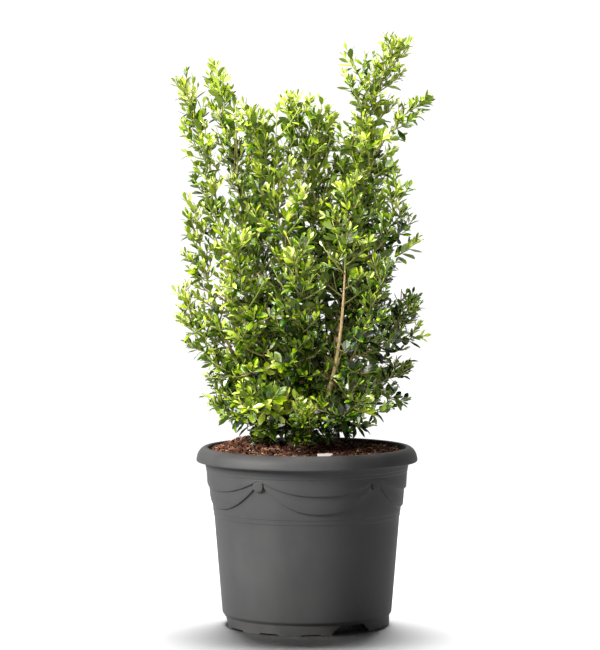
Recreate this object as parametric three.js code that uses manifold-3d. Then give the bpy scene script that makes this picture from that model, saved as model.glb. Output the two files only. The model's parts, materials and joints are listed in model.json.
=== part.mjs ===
// A loose, upright boxwood shrub with several stems, in a round plastic nursery pot.
// Millimetres, +Z up. The front faces -Y, and an azimuth is turned from the front towards +X.
// The origin is the middle of the pot's flat underside.
import * as THREE from "three";
import { mergeVertices } from "three/addons/utils/BufferGeometryUtils.js";
import Module from "manifold-3d";

const wasm = await Module();
wasm.setup();

// Pot: heights and radii of its skin
const POT_HEIGHT = 218;
const POT_SIDES = 40;
const FOOT_DISC_R = 62;
const CHANNEL_INNER_R = 68;
const SKIRT_R = 100.7;
const SKIRT_INNER_R = 97.4;
const SKIRT_HEIGHT = 13;
const WALL_FOOT_R = 103.4;
const WALL_FOOT_Z = 14.6;
const WALL_SLOPE = 0.0818;
const WALL_THICKNESS = 2.2;
const FLOOR_Z = 2.4;
const CHANNEL_Z = 12.5;
const CHANNEL_FLOOR_Z = 15;
const RIM_R = 135;
const RIM_DEPTH = 17;
const RIM_MOUTH_R = 121;
const MOUTH_BEVEL = 1.6;
const MOUTH_TAPER = 1.5;

// Outside of the rolled rim: how far in from its largest radius and how far down from its top
const RIM_PROFILE = [
  [0.3, 16.6],
  [0, 8.5],
  [2.6, 4.4],
  [10, 0],
];

// Pot: the hung swags and the knobs between them
const SWAG_COUNT = 5;
const SWAG_AZIMUTH = 9;
const SWAG_TURN = 360 / SWAG_COUNT;
const SWAG_KNOB_SHARE = 0.25;
const LOWER_SWAG = { z: 178.5, sag: 31.5, relief: 2.4 };
const UPPER_SWAG = { z: 184.2, sag: 15.5, relief: 1.6 };
const SWAG_EDGE = 0.6;
const LEDGES = [
  { z: 188.6, relief: 3.7 },
  { z: 193, relief: 4.3 },
];
const KNOB = { r: 5.6, taper: 0.85, depth: 4.6, sunk: 1.1, z: 181, lean: -1, sides: 8 };

// Pot: openings at the foot
const NOTCH_AZIMUTH = 33;
const NOTCH_COUNT = 3;
const NOTCH = { foot: 50, top: 25, height: 11.8, below: 1, inner: CHANNEL_INNER_R + 4 };
const DRAIN = { count: 6, r: 5, ring: 83, depth: 12, sides: 8 };

// Substrate: clearance to the pot, level at the wall, dome and the heap of mulch left of the plant
const SEAT_GAP = 0.3;
const SOIL_EDGE_Z = 208;
const SOIL_DOME = 8;
const SOIL_FLAT_R = 38;
const SOIL_RINGS = [104, 88, 70, 54];
const SOIL_EDGE_GAP = 2.6;
const HEAP = { x: -72, y: 12, spread: 24, height: 13 };

// Blank label that stands in the substrate behind the front of the rim
const LABEL = { width: 18, depth: 11.4, thickness: 1, azimuth: 11.5, r: 107, tilt: 68 };

// Root crown: where the stems come together
const CROWN_X = -6;
const CROWN_Z = SOIL_EDGE_Z + SOIL_DOME + SEAT_GAP;
const CROWN_PROFILE = [
  [27, 0],
  [21, 4],
  [17, 11],
  [15.5, 20],
  [12, 27],
  [6, 31],
];
const CROWN_HEART_Z = CROWN_Z + 14;
const CROWN_SIDES = 10;

// Growth rule: side shoots stand round a stem by the golden angle, and carry leaves in pairs
const GOLDEN_TURN = THREE.MathUtils.degToRad(137.508);
const SHOOT_STEP = 18;
const SHOOT_ANGLES = [66, 30];
const SHOOT_SPANS = [0.82, 1.12];
const SHOOT_TAPER = 0.4;
const SHOOT_TAPER_POWER = 1.6;
const SHORTER = 0.9;
const SHORTEST_SHOOT = 18;
const FIRST_SIDE = [0.31, 0.95, 0.07];
const CELL_SAMPLES = 9;
const CELL_MARGIN = 1.03;
const CELL_LIMIT = 1.2;
const LEAF = { length: 44, width: 26, thickness: 1.5 };
const LEAF_WIDEST = 0.56;
const LEAF_PLACES = [0.55];
const PAIR_OFFSET = 0.02;
const LEAF_SPLAY = 50;
const LEAF_ROLL = THREE.MathUtils.degToRad(140);
const LEAF_SIZES = [0.8, 1.15];
const LEAF_LIFTS = [-0.2, 0.3];
const LEAF_SIDES = 3;
const END_LEAF = 0.85;
const END_LEAF_SPAN = 1.5 * LEAF.length;
const LOWEST_LEAF_Z = 221;
const STEM_TWIG_R = [2.4, 1.2];
const STEM_TWIG_RINGS = 4;
const SHOOT_TWIG_R = 0.9;
const TWIG_SIDES = 3;
const WOOD_SIDES = 5;
const WOOD_RING_STEP = 32;
const WOOD_TAPER = 0.55;
const CLEARANCE = 0.3;

// Where a curve without bends of its own has them: shares of its way across and of its rise
const DEFAULT_BENDS = [
  [0.42, 0.16],
  [0.84, 0.6],
];

// Stems and shoots, each a cubic curve from its parent to its tip. wood is the bare share of it,
// which is a limb of its own, and the rest is the leading stem of a mass of foliage.
// r is the radius at the foot of the limb and reach the length of the mass's side shoots.
const STEMS = [
  {
    name: "left",
    bends: [[-128, -16, 266], [-74, -26, 520]],
    tip: [-152, -10, 662],
    wood: 0.4,
    r: 4,
    reach: 48,
  },
  {
    name: "left_inner",
    bends: [[-62, -22, 318], [-70, -30, 520]],
    tip: [-114, 12, 668],
    wood: 0.38,
    r: 3.6,
    reach: 50,
  },
  {
    name: "centre",
    bends: [[-2, -60, 330], [-30, -72, 500]],
    tip: [-62, -28, 618],
    wood: 0.36,
    r: 3.2,
    reach: 56,
  },
  {
    name: "front",
    bends: [[40, -50, 280], [40, -84, 370]],
    tip: [44, -84, 532],
    wood: 0.66,
    r: 3.4,
    reach: 54,
  },
  {
    name: "right",
    bends: [[84, 16, 400], [26, 20, 560]],
    tip: [111, 0, 700],
    wood: 0.5,
    r: 4.2,
    reach: 56,
  },
  {
    name: "back_left",
    bends: [[-66, 92, 320], [-46, 74, 470]],
    tip: [-66, 104, 596],
    wood: 0.34,
    r: 3.6,
    reach: 62,
  },
  {
    name: "back_right",
    bends: [[66, 96, 330], [44, 74, 480]],
    tip: [74, 108, 600],
    wood: 0.34,
    r: 3.6,
    reach: 62,
  },
  {
    name: "back",
    bends: [[-6, 60, 350], [8, 34, 500]],
    tip: [22, 50, 612],
    wood: 0.36,
    r: 3.4,
    reach: 56,
  },
];
const BRANCHES = [
  {
    name: "right_arm",
    parent: "right",
    at: 0.8,
    bends: [[62, 4, 545], [96, -6, 622]],
    tip: [146, -8, 637],
    wood: 0.5,
    r: 2,
    reach: 30,
  },
  { name: "centre_arm", parent: "right", at: 0.74, tip: [-12, -14, 648], wood: 0.4, r: 2, reach: 44 },
  { name: "low_left", parent: "left", at: 0.16, tip: [-110, -24, 276], wood: 0.4, r: 2.2, reach: 42 },
  { name: "low_right", parent: "right", at: 0.16, tip: [116, -16, 316], wood: 0.42, r: 2.4, reach: 44 },
  {
    name: "front_low_left",
    parent: "left_inner",
    at: 0.17,
    tip: [-66, -108, 286],
    wood: 0.3,
    r: 2,
    reach: 58,
  },
  { name: "front_low_right", parent: "front", at: 0.17, tip: [60, -114, 280], wood: 0.3, r: 2, reach: 58 },
  { name: "back_low_left", parent: "back_left", at: 0.16, tip: [-82, 92, 288], wood: 0.3, r: 2, reach: 60 },
  { name: "back_low_right", parent: "back_right", at: 0.16, tip: [72, 98, 290], wood: 0.3, r: 2, reach: 60 },
];
const SPRAYS = [
  { name: "left_middle", parent: "left", at: 0.7, tip: [-136, -34, 508], reach: 46 },
  { name: "left_outer", parent: "left", at: 0.45, tip: [-150, 4, 404], reach: 44 },
  { name: "front_left", parent: "left_inner", at: 0.6, tip: [-84, -106, 466], reach: 58 },
  { name: "front_centre", parent: "centre", at: 0.5, tip: [-12, -126, 466], reach: 58 },
  { name: "front_right", parent: "front", at: 0.5, tip: [88, -98, 436], reach: 56 },
  { name: "front_foot", tip: [-4, -104, 262], reach: 46 },
  { name: "right_middle", parent: "right", at: 0.6, tip: [110, -26, 528], reach: 58 },
  { name: "right_outer", parent: "right", at: 0.34, tip: [122, 4, 382], reach: 60 },
  { name: "back_middle", parent: "back", at: 0.42, tip: [0, 130, 466], reach: 58 },
  { name: "back_foot", tip: [-4, 104, 262], reach: 46 },
];

const COLOURS = {
  pot: 0x5c5c5c,
  substrate: 0x6b3a22,
  label: 0xe6dedb,
  wood: 0x9a8064,
  foliage: 0x6f9433,
};

const rad = THREE.MathUtils.degToRad;
const V = (x, y, z) => new THREE.Vector3(x, y, z);

// A closed three.js geometry as a solid that can be joined and cut
function solid(geometry) {
  const bare = geometry.clone();
  bare.deleteAttribute("normal");
  bare.deleteAttribute("uv");
  const merged = mergeVertices(bare, 1e-3);
  return new wasm.Manifold(
    new wasm.Mesh({
      numProp: 3,
      vertProperties: new Float32Array(merged.attributes.position.array),
      triVerts: new Uint32Array(merged.index.array),
    }),
  );
}

// The largest body of a solid: loose scraps and sealed hollows are dropped
function geometryOf(made) {
  const largest = made.decompose().reduce((a, b) => (b.volume() > a.volume() ? b : a));
  const mesh = largest.getMesh();
  const geometry = new THREE.BufferGeometry();
  geometry.setAttribute("position", new THREE.BufferAttribute(mesh.vertProperties, 3));
  geometry.setIndex(new THREE.BufferAttribute(mesh.triVerts, 1));
  geometry.computeVertexNormals();
  return geometry;
}

function mesh(name, geometry, colour, roughness) {
  const material = new THREE.MeshStandardMaterial({ color: colour, roughness, metalness: 0 });
  const made = new THREE.Mesh(geometry, material);
  made.name = name;
  return made;
}

// A lathe whose rows give their radius and height at each azimuth, from the axis and back to it
function bentLathe(rows, sides) {
  const geometry = new THREE.LatheGeometry(
    rows.map((row) => new THREE.Vector2(...row(0))),
    sides,
  );
  const position = geometry.attributes.position;
  for (let side = 0; side <= sides; side++) {
    const azimuth = (2 * Math.PI * (side % sides)) / sides;
    rows.forEach((row, j) => {
      const [r, z] = row(azimuth);
      position.setXYZ(side * rows.length + j, r * Math.sin(azimuth), z, r * Math.cos(azimuth));
    });
  }
  return geometry.rotateX(Math.PI / 2);
}

const wallRadius = (z) => WALL_FOOT_R + WALL_SLOPE * (z - WALL_FOOT_Z);

// How far a swag hangs at an azimuth: 0 at a knob and 1 midway between two
function sagShare(azimuth) {
  const turn = THREE.MathUtils.radToDeg(azimuth) - SWAG_AZIMUTH + SWAG_TURN / 2;
  const u = THREE.MathUtils.euclideanModulo(turn, SWAG_TURN) / SWAG_TURN;
  return 4 * u * (1 - u);
}

const swagZ = (swag, azimuth) => swag.z - swag.sag * sagShare(azimuth);
const swagRelief = (swag, azimuth) =>
  swag.relief * THREE.MathUtils.lerp(SWAG_KNOB_SHARE, 1, sagShare(azimuth));

function potRows() {
  const plain = (r, z) => () => [r, z];
  const wall = (z, relief) => plain(wallRadius(z) + relief, z);
  const edge = (swag, side, reliefs) => (azimuth) => {
    const z = swagZ(swag, azimuth) + side * SWAG_EDGE;
    return [wallRadius(z) + reliefs.reduce((sum, s) => sum + swagRelief(s, azimuth), 0), z];
  };
  const [low, high] = LEDGES;
  return [
    plain(0, 0),
    plain(FOOT_DISC_R, 0),
    plain(CHANNEL_INNER_R, CHANNEL_Z),
    plain(SKIRT_INNER_R, CHANNEL_Z),
    plain(SKIRT_INNER_R, 0),
    plain(SKIRT_R, 0),
    plain(SKIRT_R, SKIRT_HEIGHT),
    wall(WALL_FOOT_Z, 0),
    edge(LOWER_SWAG, -1, []),
    edge(LOWER_SWAG, 1, [LOWER_SWAG]),
    edge(UPPER_SWAG, -1, [LOWER_SWAG]),
    edge(UPPER_SWAG, 1, [LOWER_SWAG, UPPER_SWAG]),
    wall(low.z, low.relief),
    wall(high.z, high.relief),
    wall(POT_HEIGHT - RIM_DEPTH, high.relief),
    ...RIM_PROFILE.map(([inwards, down]) => plain(RIM_R - inwards, POT_HEIGHT - down)),
    plain(RIM_MOUTH_R, POT_HEIGHT - MOUTH_BEVEL),
    plain(RIM_MOUTH_R - MOUTH_TAPER, POT_HEIGHT - RIM_DEPTH),
    ...[LOWER_SWAG.z, CHANNEL_FLOOR_Z + 1].map((z) => plain(wallRadius(z) - WALL_THICKNESS, z)),
    plain(SKIRT_INNER_R, CHANNEL_FLOOR_Z),
    plain(CHANNEL_INNER_R - 1, CHANNEL_FLOOR_Z),
    plain(FOOT_DISC_R - 1, FLOOR_Z),
    plain(0, FLOOR_Z),
  ];
}

// A notch through the skirt: a trapezoid that stands on the ground, run through the wall
function notch(azimuth) {
  const { foot, top, height, below, inner } = NOTCH;
  const outline = new THREE.Shape([
    new THREE.Vector2(-foot / 2, -below),
    new THREE.Vector2(foot / 2, -below),
    new THREE.Vector2(top / 2, height),
    new THREE.Vector2(-top / 2, height),
  ]);
  const depth = SKIRT_R - CHANNEL_INNER_R;
  const cutter = new THREE.ExtrudeGeometry(outline, { depth, bevelEnabled: false });
  return solid(cutter.rotateX(Math.PI / 2).translate(0, -inner, 0).rotateZ(azimuth));
}

function knobAt(azimuth) {
  const { r, taper, depth, sunk, z, lean, sides } = KNOB;
  const knob = new THREE.CylinderGeometry(r * taper, r, depth, sides);
  knob.translate(0, -wallRadius(z) - sunk, 0);
  return solid(knob.rotateX(rad(lean)).translate(0, 0, z).rotateZ(azimuth));
}

function drainAt(azimuth) {
  const { r, ring, depth, sides } = DRAIN;
  const drain = new THREE.CylinderGeometry(r, r, depth, sides).rotateX(Math.PI / 2);
  return solid(drain.translate(0, -ring, CHANNEL_Z).rotateZ(azimuth));
}

function potGeometry() {
  let pot = solid(bentLathe(potRows(), POT_SIDES));
  for (let i = 0; i < SWAG_COUNT; i++) {
    pot = pot.add(knobAt(rad(SWAG_AZIMUTH + SWAG_TURN * (i + 0.5))));
  }
  for (let i = 0; i < NOTCH_COUNT; i++) {
    pot = pot.subtract(notch(rad(NOTCH_AZIMUTH + (360 / NOTCH_COUNT) * i)));
  }
  for (let i = 0; i < DRAIN.count; i++) {
    pot = pot.subtract(drainAt((2 * Math.PI * i) / DRAIN.count));
  }
  return geometryOf(pot);
}

// Height of the substrate: a low dome, flat under the root crown, with a heap to its left
function soilZ(r, azimuth) {
  const fall = Math.max(0, r - SOIL_FLAT_R) / (RIM_MOUTH_R - SOIL_FLAT_R);
  const off = Math.hypot(r * Math.sin(azimuth) - HEAP.x, -r * Math.cos(azimuth) - HEAP.y);
  const heap = r > SOIL_FLAT_R ? HEAP.height * Math.exp(-0.5 * (off / HEAP.spread) ** 2) : 0;
  return SOIL_EDGE_Z + SOIL_DOME * (1 - fall) + heap;
}

function substrateGeometry() {
  const plain = (r, z) => () => [r, z];
  const top = (r) => (azimuth) => [r, soilZ(r, azimuth)];
  const side = (z) => plain(wallRadius(z) - WALL_THICKNESS - SEAT_GAP, z);
  const lift = FLOOR_Z + SEAT_GAP;
  const channelLift = CHANNEL_FLOOR_Z + SEAT_GAP;
  const edge = RIM_MOUTH_R - SOIL_EDGE_GAP;
  const rows = [
    plain(0, lift),
    plain(FOOT_DISC_R - 2, lift),
    plain(CHANNEL_INNER_R - 2, channelLift),
    plain(SKIRT_INNER_R - 2, channelLift),
    side(CHANNEL_FLOOR_Z + 2),
    side(LOWER_SWAG.z - 1),
    plain(edge - SEAT_GAP, POT_HEIGHT - RIM_DEPTH - 2),
    ...[edge, ...SOIL_RINGS, SOIL_FLAT_R].map(top),
    plain(0, SOIL_EDGE_Z + SOIL_DOME),
  ];
  return geometryOf(solid(bentLathe(rows, POT_SIDES / 2)));
}

function labelGeometry() {
  const plate = new THREE.BoxGeometry(LABEL.width, LABEL.depth, LABEL.thickness);
  plate.rotateX(rad(LABEL.tilt)).translate(0, -LABEL.r, 0);
  const foot = LABEL.r + (LABEL.depth / 2) * Math.cos(rad(LABEL.tilt));
  const seat = soilZ(foot, rad(LABEL.azimuth)) + SEAT_GAP;
  plate.computeBoundingBox();
  return plate.translate(0, 0, seat - plate.boundingBox.min.z).rotateZ(rad(LABEL.azimuth));
}

function rootCrown(grow) {
  const profile = CROWN_PROFILE.map(([r, z]) => new THREE.Vector2(r + grow, z ? z + grow : z));
  const top = profile.at(-1).y + 1;
  const lathe = new THREE.LatheGeometry(
    [new THREE.Vector2(0, 0), ...profile, new THREE.Vector2(0, top)],
    CROWN_SIDES,
  );
  return solid(lathe.rotateX(Math.PI / 2).translate(CROWN_X, 0, CROWN_Z));
}

// A tapering tube along a curve between two shares of its length: a cylinder whose rings are
// carried to the curve and turned with it
function tube(curve, from, to, radii, sides, rings) {
  const geometry = new THREE.CylinderGeometry(1, 1, 1, sides, rings);
  const frames = [];
  let side = V(...FIRST_SIDE);
  for (let i = 0; i <= rings; i++) {
    const share = from + ((to - from) * i) / rings;
    const along = curve.getTangent(share);
    side = side.clone().addScaledVector(along, -side.dot(along)).normalize();
    frames.push({
      centre: curve.getPoint(share),
      side,
      other: side.clone().cross(along),
      r: THREE.MathUtils.lerp(...radii, i / rings),
    });
  }
  const position = geometry.attributes.position;
  for (let i = 0; i < position.count; i++) {
    const frame = frames[Math.round((position.getY(i) + 0.5) * rings)];
    const spot = frame.centre.clone();
    spot.addScaledVector(frame.side, position.getX(i) * frame.r);
    spot.addScaledVector(frame.other, position.getZ(i) * frame.r);
    position.setXYZ(i, spot.x, spot.y, spot.z);
  }
  return solid(geometry);
}

// A slim three-sided spike from a foot to a tip
function spike(foot, tip, r) {
  const span = foot.distanceTo(tip);
  const geometry = new THREE.ConeGeometry(r, span, TWIG_SIDES, 1).translate(0, span / 2, 0);
  const turn = new THREE.Quaternion().setFromUnitVectors(
    V(0, 1, 0),
    tip.clone().sub(foot).normalize(),
  );
  return geometry.applyQuaternion(turn).translate(foot.x, foot.y, foot.z);
}

// A repeatable number from 0 to 1 for a mass, one of its shoots and a use
function chance(mass, shoot, use) {
  const wave = Math.sin(mass * 127.1 + shoot * 311.7 + use * 74.7 + 0.5) * 43758.5453;
  return wave - Math.floor(wave);
}

// The curve of a stem or shoot. Without bends of its own it leaves outwards and then rises.
function curveOf(row, start) {
  const tip = V(...row.tip);
  const lean = tip.clone().sub(start);
  const usual = DEFAULT_BENDS.map(([level, rise]) => V(level, level, rise).multiply(lean).add(start));
  const [a, b] = row.bends ? row.bends.map((bend) => V(...bend)) : usual;
  return new THREE.CubicBezierCurve3(start, a, b, tip);
}

// Every stem, branch and spray with its curve and the samples of its mass's space
function plan() {
  const sources = [...STEMS, ...BRANCHES, ...SPRAYS];
  const rows = sources.map((row, index) => ({ wood: 0, ...row, index }));
  const byName = new Map();
  for (const row of rows) {
    const parent = byName.get(row.parent);
    const start = parent
      ? parent.curve.getPoint(row.at * parent.wood)
      : V(CROWN_X, 0, CROWN_HEART_Z);
    row.curve = curveOf(row, start);
    row.samples = [];
    for (let i = 0; i < CELL_SAMPLES; i++) {
      const along = i / (CELL_SAMPLES - 1);
      const share = row.wood + (1 - row.wood) * along;
      row.samples.push({ at: row.curve.getPoint(share), reach: row.reach * shootShare(along) });
    }
    byName.set(row.name, row);
  }
  return rows;
}

// Side shoots grow shorter towards the tip of their stem
function shootShare(along) {
  return 1 - SHOOT_TAPER * along ** SHOOT_TAPER_POWER;
}

// How far a point lies from a mass's stem, as a share of the mass's reach there
function offShare(row, point) {
  return Math.min(...row.samples.map((s) => s.at.distanceTo(point) / s.reach));
}

// Whether a point is in the space of a mass: nearest to its stem, and above the pot
function inSpace(row, rows, point) {
  const own = offShare(row, point) * CELL_MARGIN;
  const clear = rows.every((other) => other === row || offShare(other, point) > own);
  return clear && own < CELL_LIMIT && point.z > LOWEST_LEAF_Z;
}

// The limbs: each is cut clear of what it grows from. Returns them grown by the clearance.
function growLimbs(rows) {
  const grown = new Map([["root_crown", rootCrown(CLEARANCE)]]);
  for (const row of rows.filter((r) => r.wood)) {
    const rings = Math.max(2, Math.round((row.curve.getLength() * row.wood) / WOOD_RING_STEP));
    const shape = (extra) => {
      const radii = [row.r + extra, row.r * (1 - WOOD_TAPER) + extra];
      return tube(row.curve, 0, row.wood, radii, WOOD_SIDES, rings);
    };
    row.limb = shape(0).subtract(grown.get(row.parent ?? "root_crown"));
    grown.set(row.name, shape(CLEARANCE));
  }
  return grown;
}

// A leaf: a flattened spindle with three edges, whose root is sunk in the middle of its twig
function leaf(root, out, face, size) {
  const across = face.clone().cross(out).normalize();
  const outline = [
    [0, 0],
    [1, LEAF_WIDEST],
    [0, 1],
  ];
  const profile = outline.map(([r, y]) => new THREE.Vector2(r, y));
  const geometry = new THREE.LatheGeometry(profile, LEAF_SIDES);
  geometry.scale((LEAF.width * size) / Math.sqrt(3), LEAF.length * size, LEAF.thickness / 1.5);
  const place = new THREE.Matrix4().makeBasis(across, out, across.clone().cross(out));
  return geometry.applyMatrix4(place.setPosition(root));
}

function cornersOf(geometry) {
  const position = geometry.attributes.position;
  return Array.from({ length: position.count }, (_, i) => V().fromBufferAttribute(position, i));
}

// The side shoots of a mass: straight lines from its stem, each cut back to the mass's own space
function shootsOf(row, rows) {
  const count = Math.round((row.curve.getLength() * (1 - row.wood)) / SHOOT_STEP);
  const shoots = [];
  for (let i = 0; i < count; i++) {
    const along = (i + 0.5) / count;
    const share = row.wood + (1 - row.wood) * along;
    const start = row.curve.getPoint(share);
    const stem = row.curve.getTangent(share);
    const side = V(...FIRST_SIDE).cross(stem).normalize();
    side.applyAxisAngle(stem, i * GOLDEN_TURN + 2 * Math.PI * chance(row.index, 0, 1));
    const angle = rad(THREE.MathUtils.lerp(...SHOOT_ANGLES, along));
    const out = stem.clone().multiplyScalar(Math.cos(angle)).addScaledVector(side, Math.sin(angle));
    const end = (s) => start.clone().addScaledVector(out, s);
    const spread = THREE.MathUtils.lerp(...SHOOT_SPANS, chance(row.index, i, 2));
    let span = row.reach * shootShare(along) * spread;
    while (span > SHORTEST_SHOOT && !inSpace(row, rows, end(span))) span *= SHORTER;
    if (span > SHORTEST_SHOOT) shoots.push({ start, out, tip: end(span), index: i });
  }
  return shoots;
}

// The leaf at the end of a shoot takes at most this share of the full size, less on a short shoot
function endLeafSize(start, tip) {
  return END_LEAF * Math.min(1, start.distanceTo(tip) / END_LEAF_SPAN);
}

// Leaves of a shoot: opposite pairs along it and one at its end that reaches its tip
function leavesOf(row, { start, out, tip, index = 0 }) {
  const up = V(0, 0, 1).addScaledVector(out, -out.z).normalize();
  up.applyAxisAngle(out, LEAF_ROLL * (chance(row.index, index, 7) - 0.5));
  const across = up.clone().cross(out).normalize();
  const face = out.clone().cross(across);
  const endSize = endLeafSize(start, tip);
  const end = tip.clone().addScaledVector(out, -LEAF.length * endSize);
  const leaves = [{ geometry: leaf(end, out, face, endSize), place: 1 }];
  for (const place of LEAF_PLACES) {
    for (const hand of [-1, 1]) {
      const splay = rad(LEAF_SPLAY) * hand;
      const way = out.clone().multiplyScalar(Math.cos(splay));
      way.addScaledVector(across, Math.sin(splay));
      const lift = THREE.MathUtils.lerp(...LEAF_LIFTS, chance(row.index, index, 3 + place + hand));
      way.addScaledVector(face, lift).normalize();
      const grown = chance(row.index, index, 9 + place + hand);
      const size = THREE.MathUtils.lerp(...LEAF_SIZES, grown);
      const root = start.clone().lerp(end, place + hand * PAIR_OFFSET);
      leaves.push({ geometry: leaf(root, way, face, size), place });
    }
  }
  return leaves;
}

// One mass of foliage: its stem, side shoots and leaves fused into one solid
function massOf(row, rows, obstacles) {
  const meets = (piece, others) => others.some((other) => !piece.intersect(other).isEmpty());
  const others = obstacles.filter(({ owner }) => owner !== row.name).map(({ made }) => made);
  const pieces = [row.leader];
  const leaves = [];
  const leader = {
    start: row.curve.getPoint(row.wood),
    out: row.curve.getTangent(1),
    tip: V(...row.tip),
  };
  for (const shoot of [leader, ...shootsOf(row, rows)]) {
    if (shoot !== leader) {
      const size = endLeafSize(shoot.start, shoot.tip);
      const twigTip = shoot.tip.clone().addScaledVector(shoot.out, -0.5 * LEAF.length * size);
      const twig = solid(spike(shoot.start, twigTip, SHOOT_TWIG_R));
      if (meets(twig, others)) continue;
      pieces.push(twig);
    }
    for (const { geometry, place } of leavesOf(row, shoot)) {
      if (shoot === leader && place < 1) continue;
      if (!cornersOf(geometry).every((corner) => inSpace(row, rows, corner))) continue;
      const made = solid(geometry);
      const apart = leaves.filter((other) => other.shoot !== shoot || other.place !== place);
      if (meets(made, others) || meets(made, apart.map((other) => other.made))) continue;
      leaves.push({ made, shoot, place });
      pieces.push(made);
    }
  }
  return wasm.Manifold.union(pieces);
}

function plantMeshes() {
  const rows = plan();
  const grown = growLimbs(rows);
  const found = [mesh("root_crown", geometryOf(rootCrown(0)), COLOURS.wood, 0.85)];
  const obstacles = [...grown].map(([owner, made]) => ({ owner: "stem_" + owner, made }));
  for (const row of rows) {
    if (row.limb) found.push(mesh("stem_" + row.name, geometryOf(row.limb), COLOURS.wood, 0.8));
    const length = row.curve.getLength();
    const from = row.wood ? row.wood + CLEARANCE / length : 0;
    const to = 1 - (0.5 * LEAF.length * END_LEAF) / length;
    row.leader = tube(row.curve, from, to, STEM_TWIG_R, TWIG_SIDES, STEM_TWIG_RINGS);
    if (!row.wood) row.leader = row.leader.subtract(grown.get(row.parent ?? "root_crown"));
    obstacles.push({ owner: row.name, made: row.leader });
  }
  for (const row of rows) {
    const made = massOf(row, rows, obstacles);
    found.push(mesh("foliage_" + row.name, geometryOf(made), COLOURS.foliage, 0.5));
    obstacles.push({ owner: row.name, made });
  }
  return found;
}

const part = new THREE.Group();
part.add(mesh("pot", potGeometry(), COLOURS.pot, 0.6));
part.add(mesh("substrate", substrateGeometry(), COLOURS.substrate, 0.95));
part.add(mesh("label", labelGeometry(), COLOURS.label, 0.5));
part.add(...plantMeshes());
export default part;
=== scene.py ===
"""A loose, upright boxwood shrub in a round plastic nursery pot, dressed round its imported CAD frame.

Metres, +Z up. The front faces -Y, and an azimuth is turned from the front towards +X.
"""

import json
import math

import bpy
import numpy as np
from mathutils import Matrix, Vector

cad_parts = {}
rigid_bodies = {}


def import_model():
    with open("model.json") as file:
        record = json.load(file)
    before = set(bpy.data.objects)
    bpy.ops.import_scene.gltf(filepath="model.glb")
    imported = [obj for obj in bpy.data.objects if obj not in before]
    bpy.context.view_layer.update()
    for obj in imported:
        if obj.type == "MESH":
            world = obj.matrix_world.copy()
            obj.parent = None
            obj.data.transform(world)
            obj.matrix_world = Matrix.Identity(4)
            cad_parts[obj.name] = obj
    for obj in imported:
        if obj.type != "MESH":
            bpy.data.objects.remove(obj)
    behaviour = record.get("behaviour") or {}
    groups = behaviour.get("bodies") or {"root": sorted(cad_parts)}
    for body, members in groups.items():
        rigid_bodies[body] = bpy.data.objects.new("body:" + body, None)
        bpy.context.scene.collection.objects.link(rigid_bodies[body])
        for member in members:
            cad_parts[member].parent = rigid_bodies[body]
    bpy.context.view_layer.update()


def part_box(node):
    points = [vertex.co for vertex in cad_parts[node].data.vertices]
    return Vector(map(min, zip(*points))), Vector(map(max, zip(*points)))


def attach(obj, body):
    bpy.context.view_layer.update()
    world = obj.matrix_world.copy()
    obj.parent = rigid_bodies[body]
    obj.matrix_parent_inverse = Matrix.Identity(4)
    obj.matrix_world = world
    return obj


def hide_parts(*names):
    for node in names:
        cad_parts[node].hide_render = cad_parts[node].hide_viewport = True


bl_info = {
    "name": "Potted boxwood shrub",
    "version": (1, 0, 0),
    "blender": (4, 5, 0),
    "location": "3D View > Sidebar > Shrub",
    "description": "Builds a loose boxwood shrub, its pot and its bark mulch",
    "category": "Add Mesh",
}

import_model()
SEED = 41

# Pot: radii and heights of its skin, of which the frame gives the largest
POT_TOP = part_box("pot")[1]
POT_HEIGHT = POT_TOP.z
RIM_R = POT_TOP.x
RIM_MOUTH_R = 0.121
RIM_BOTTOM_Z = 0.2003
FOOT_DISC_R = 0.062
CHANNEL_INNER_R = 0.068
CHANNEL_Z = 0.0125
CHANNEL_FLOOR_Z = 0.015
SKIRT_R = 0.1007
SKIRT_INNER_R = 0.0974
SKIRT_HEIGHT = 0.0124
WALL_FOOT_R = 0.1034
WALL_FOOT_Z = 0.0158
WALL_SLOPE = 0.0818
WALL_THICKNESS = 0.0022
FLOOR_Z = 0.0024
CHANNEL_INSET = 0.001
SPAN_LIMIT = 0.009
ROUNDED_SHARE = 0.45
FINE_ROUNDING = 0.001
FINE_STEPS = 3
ROUND_STEPS = 5
POT_SHARP = 50

# Pot: roundings of its edges
SOFT_EDGE = 0.0014
CHANNEL_EDGE = 0.0018
FIRM_EDGE = 0.0008
MOUTH_EDGE = 0.0007
SKIRT_EDGE = 0.0006
NOTCH_EDGE = 0.0005
FINE_EDGE = 0.0002
SWAG_ROUNDING = 0.0007
LEDGE_FOOT_EDGE = 0.0003
LEDGE_TOP_EDGE = 0.0005

# Pot: its rolled rim as steps in from the largest radius, heights and roundings
RIM_ROLL = (
    (0.0004, RIM_BOTTOM_Z + 0.0004, 0.0006),
    (0.0000, RIM_BOTTOM_Z + 0.0022, 0.0016),
    (0.0014, POT_HEIGHT - 0.0085, 0.0040),
    (0.0046, POT_HEIGHT - 0.0034, 0.0030),
    (0.0092, POT_HEIGHT, 0.0026),
)
RIM_MOUTH_DROP = 0.0006
RIM_MOUTH_TAPER = 0.0015

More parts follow.
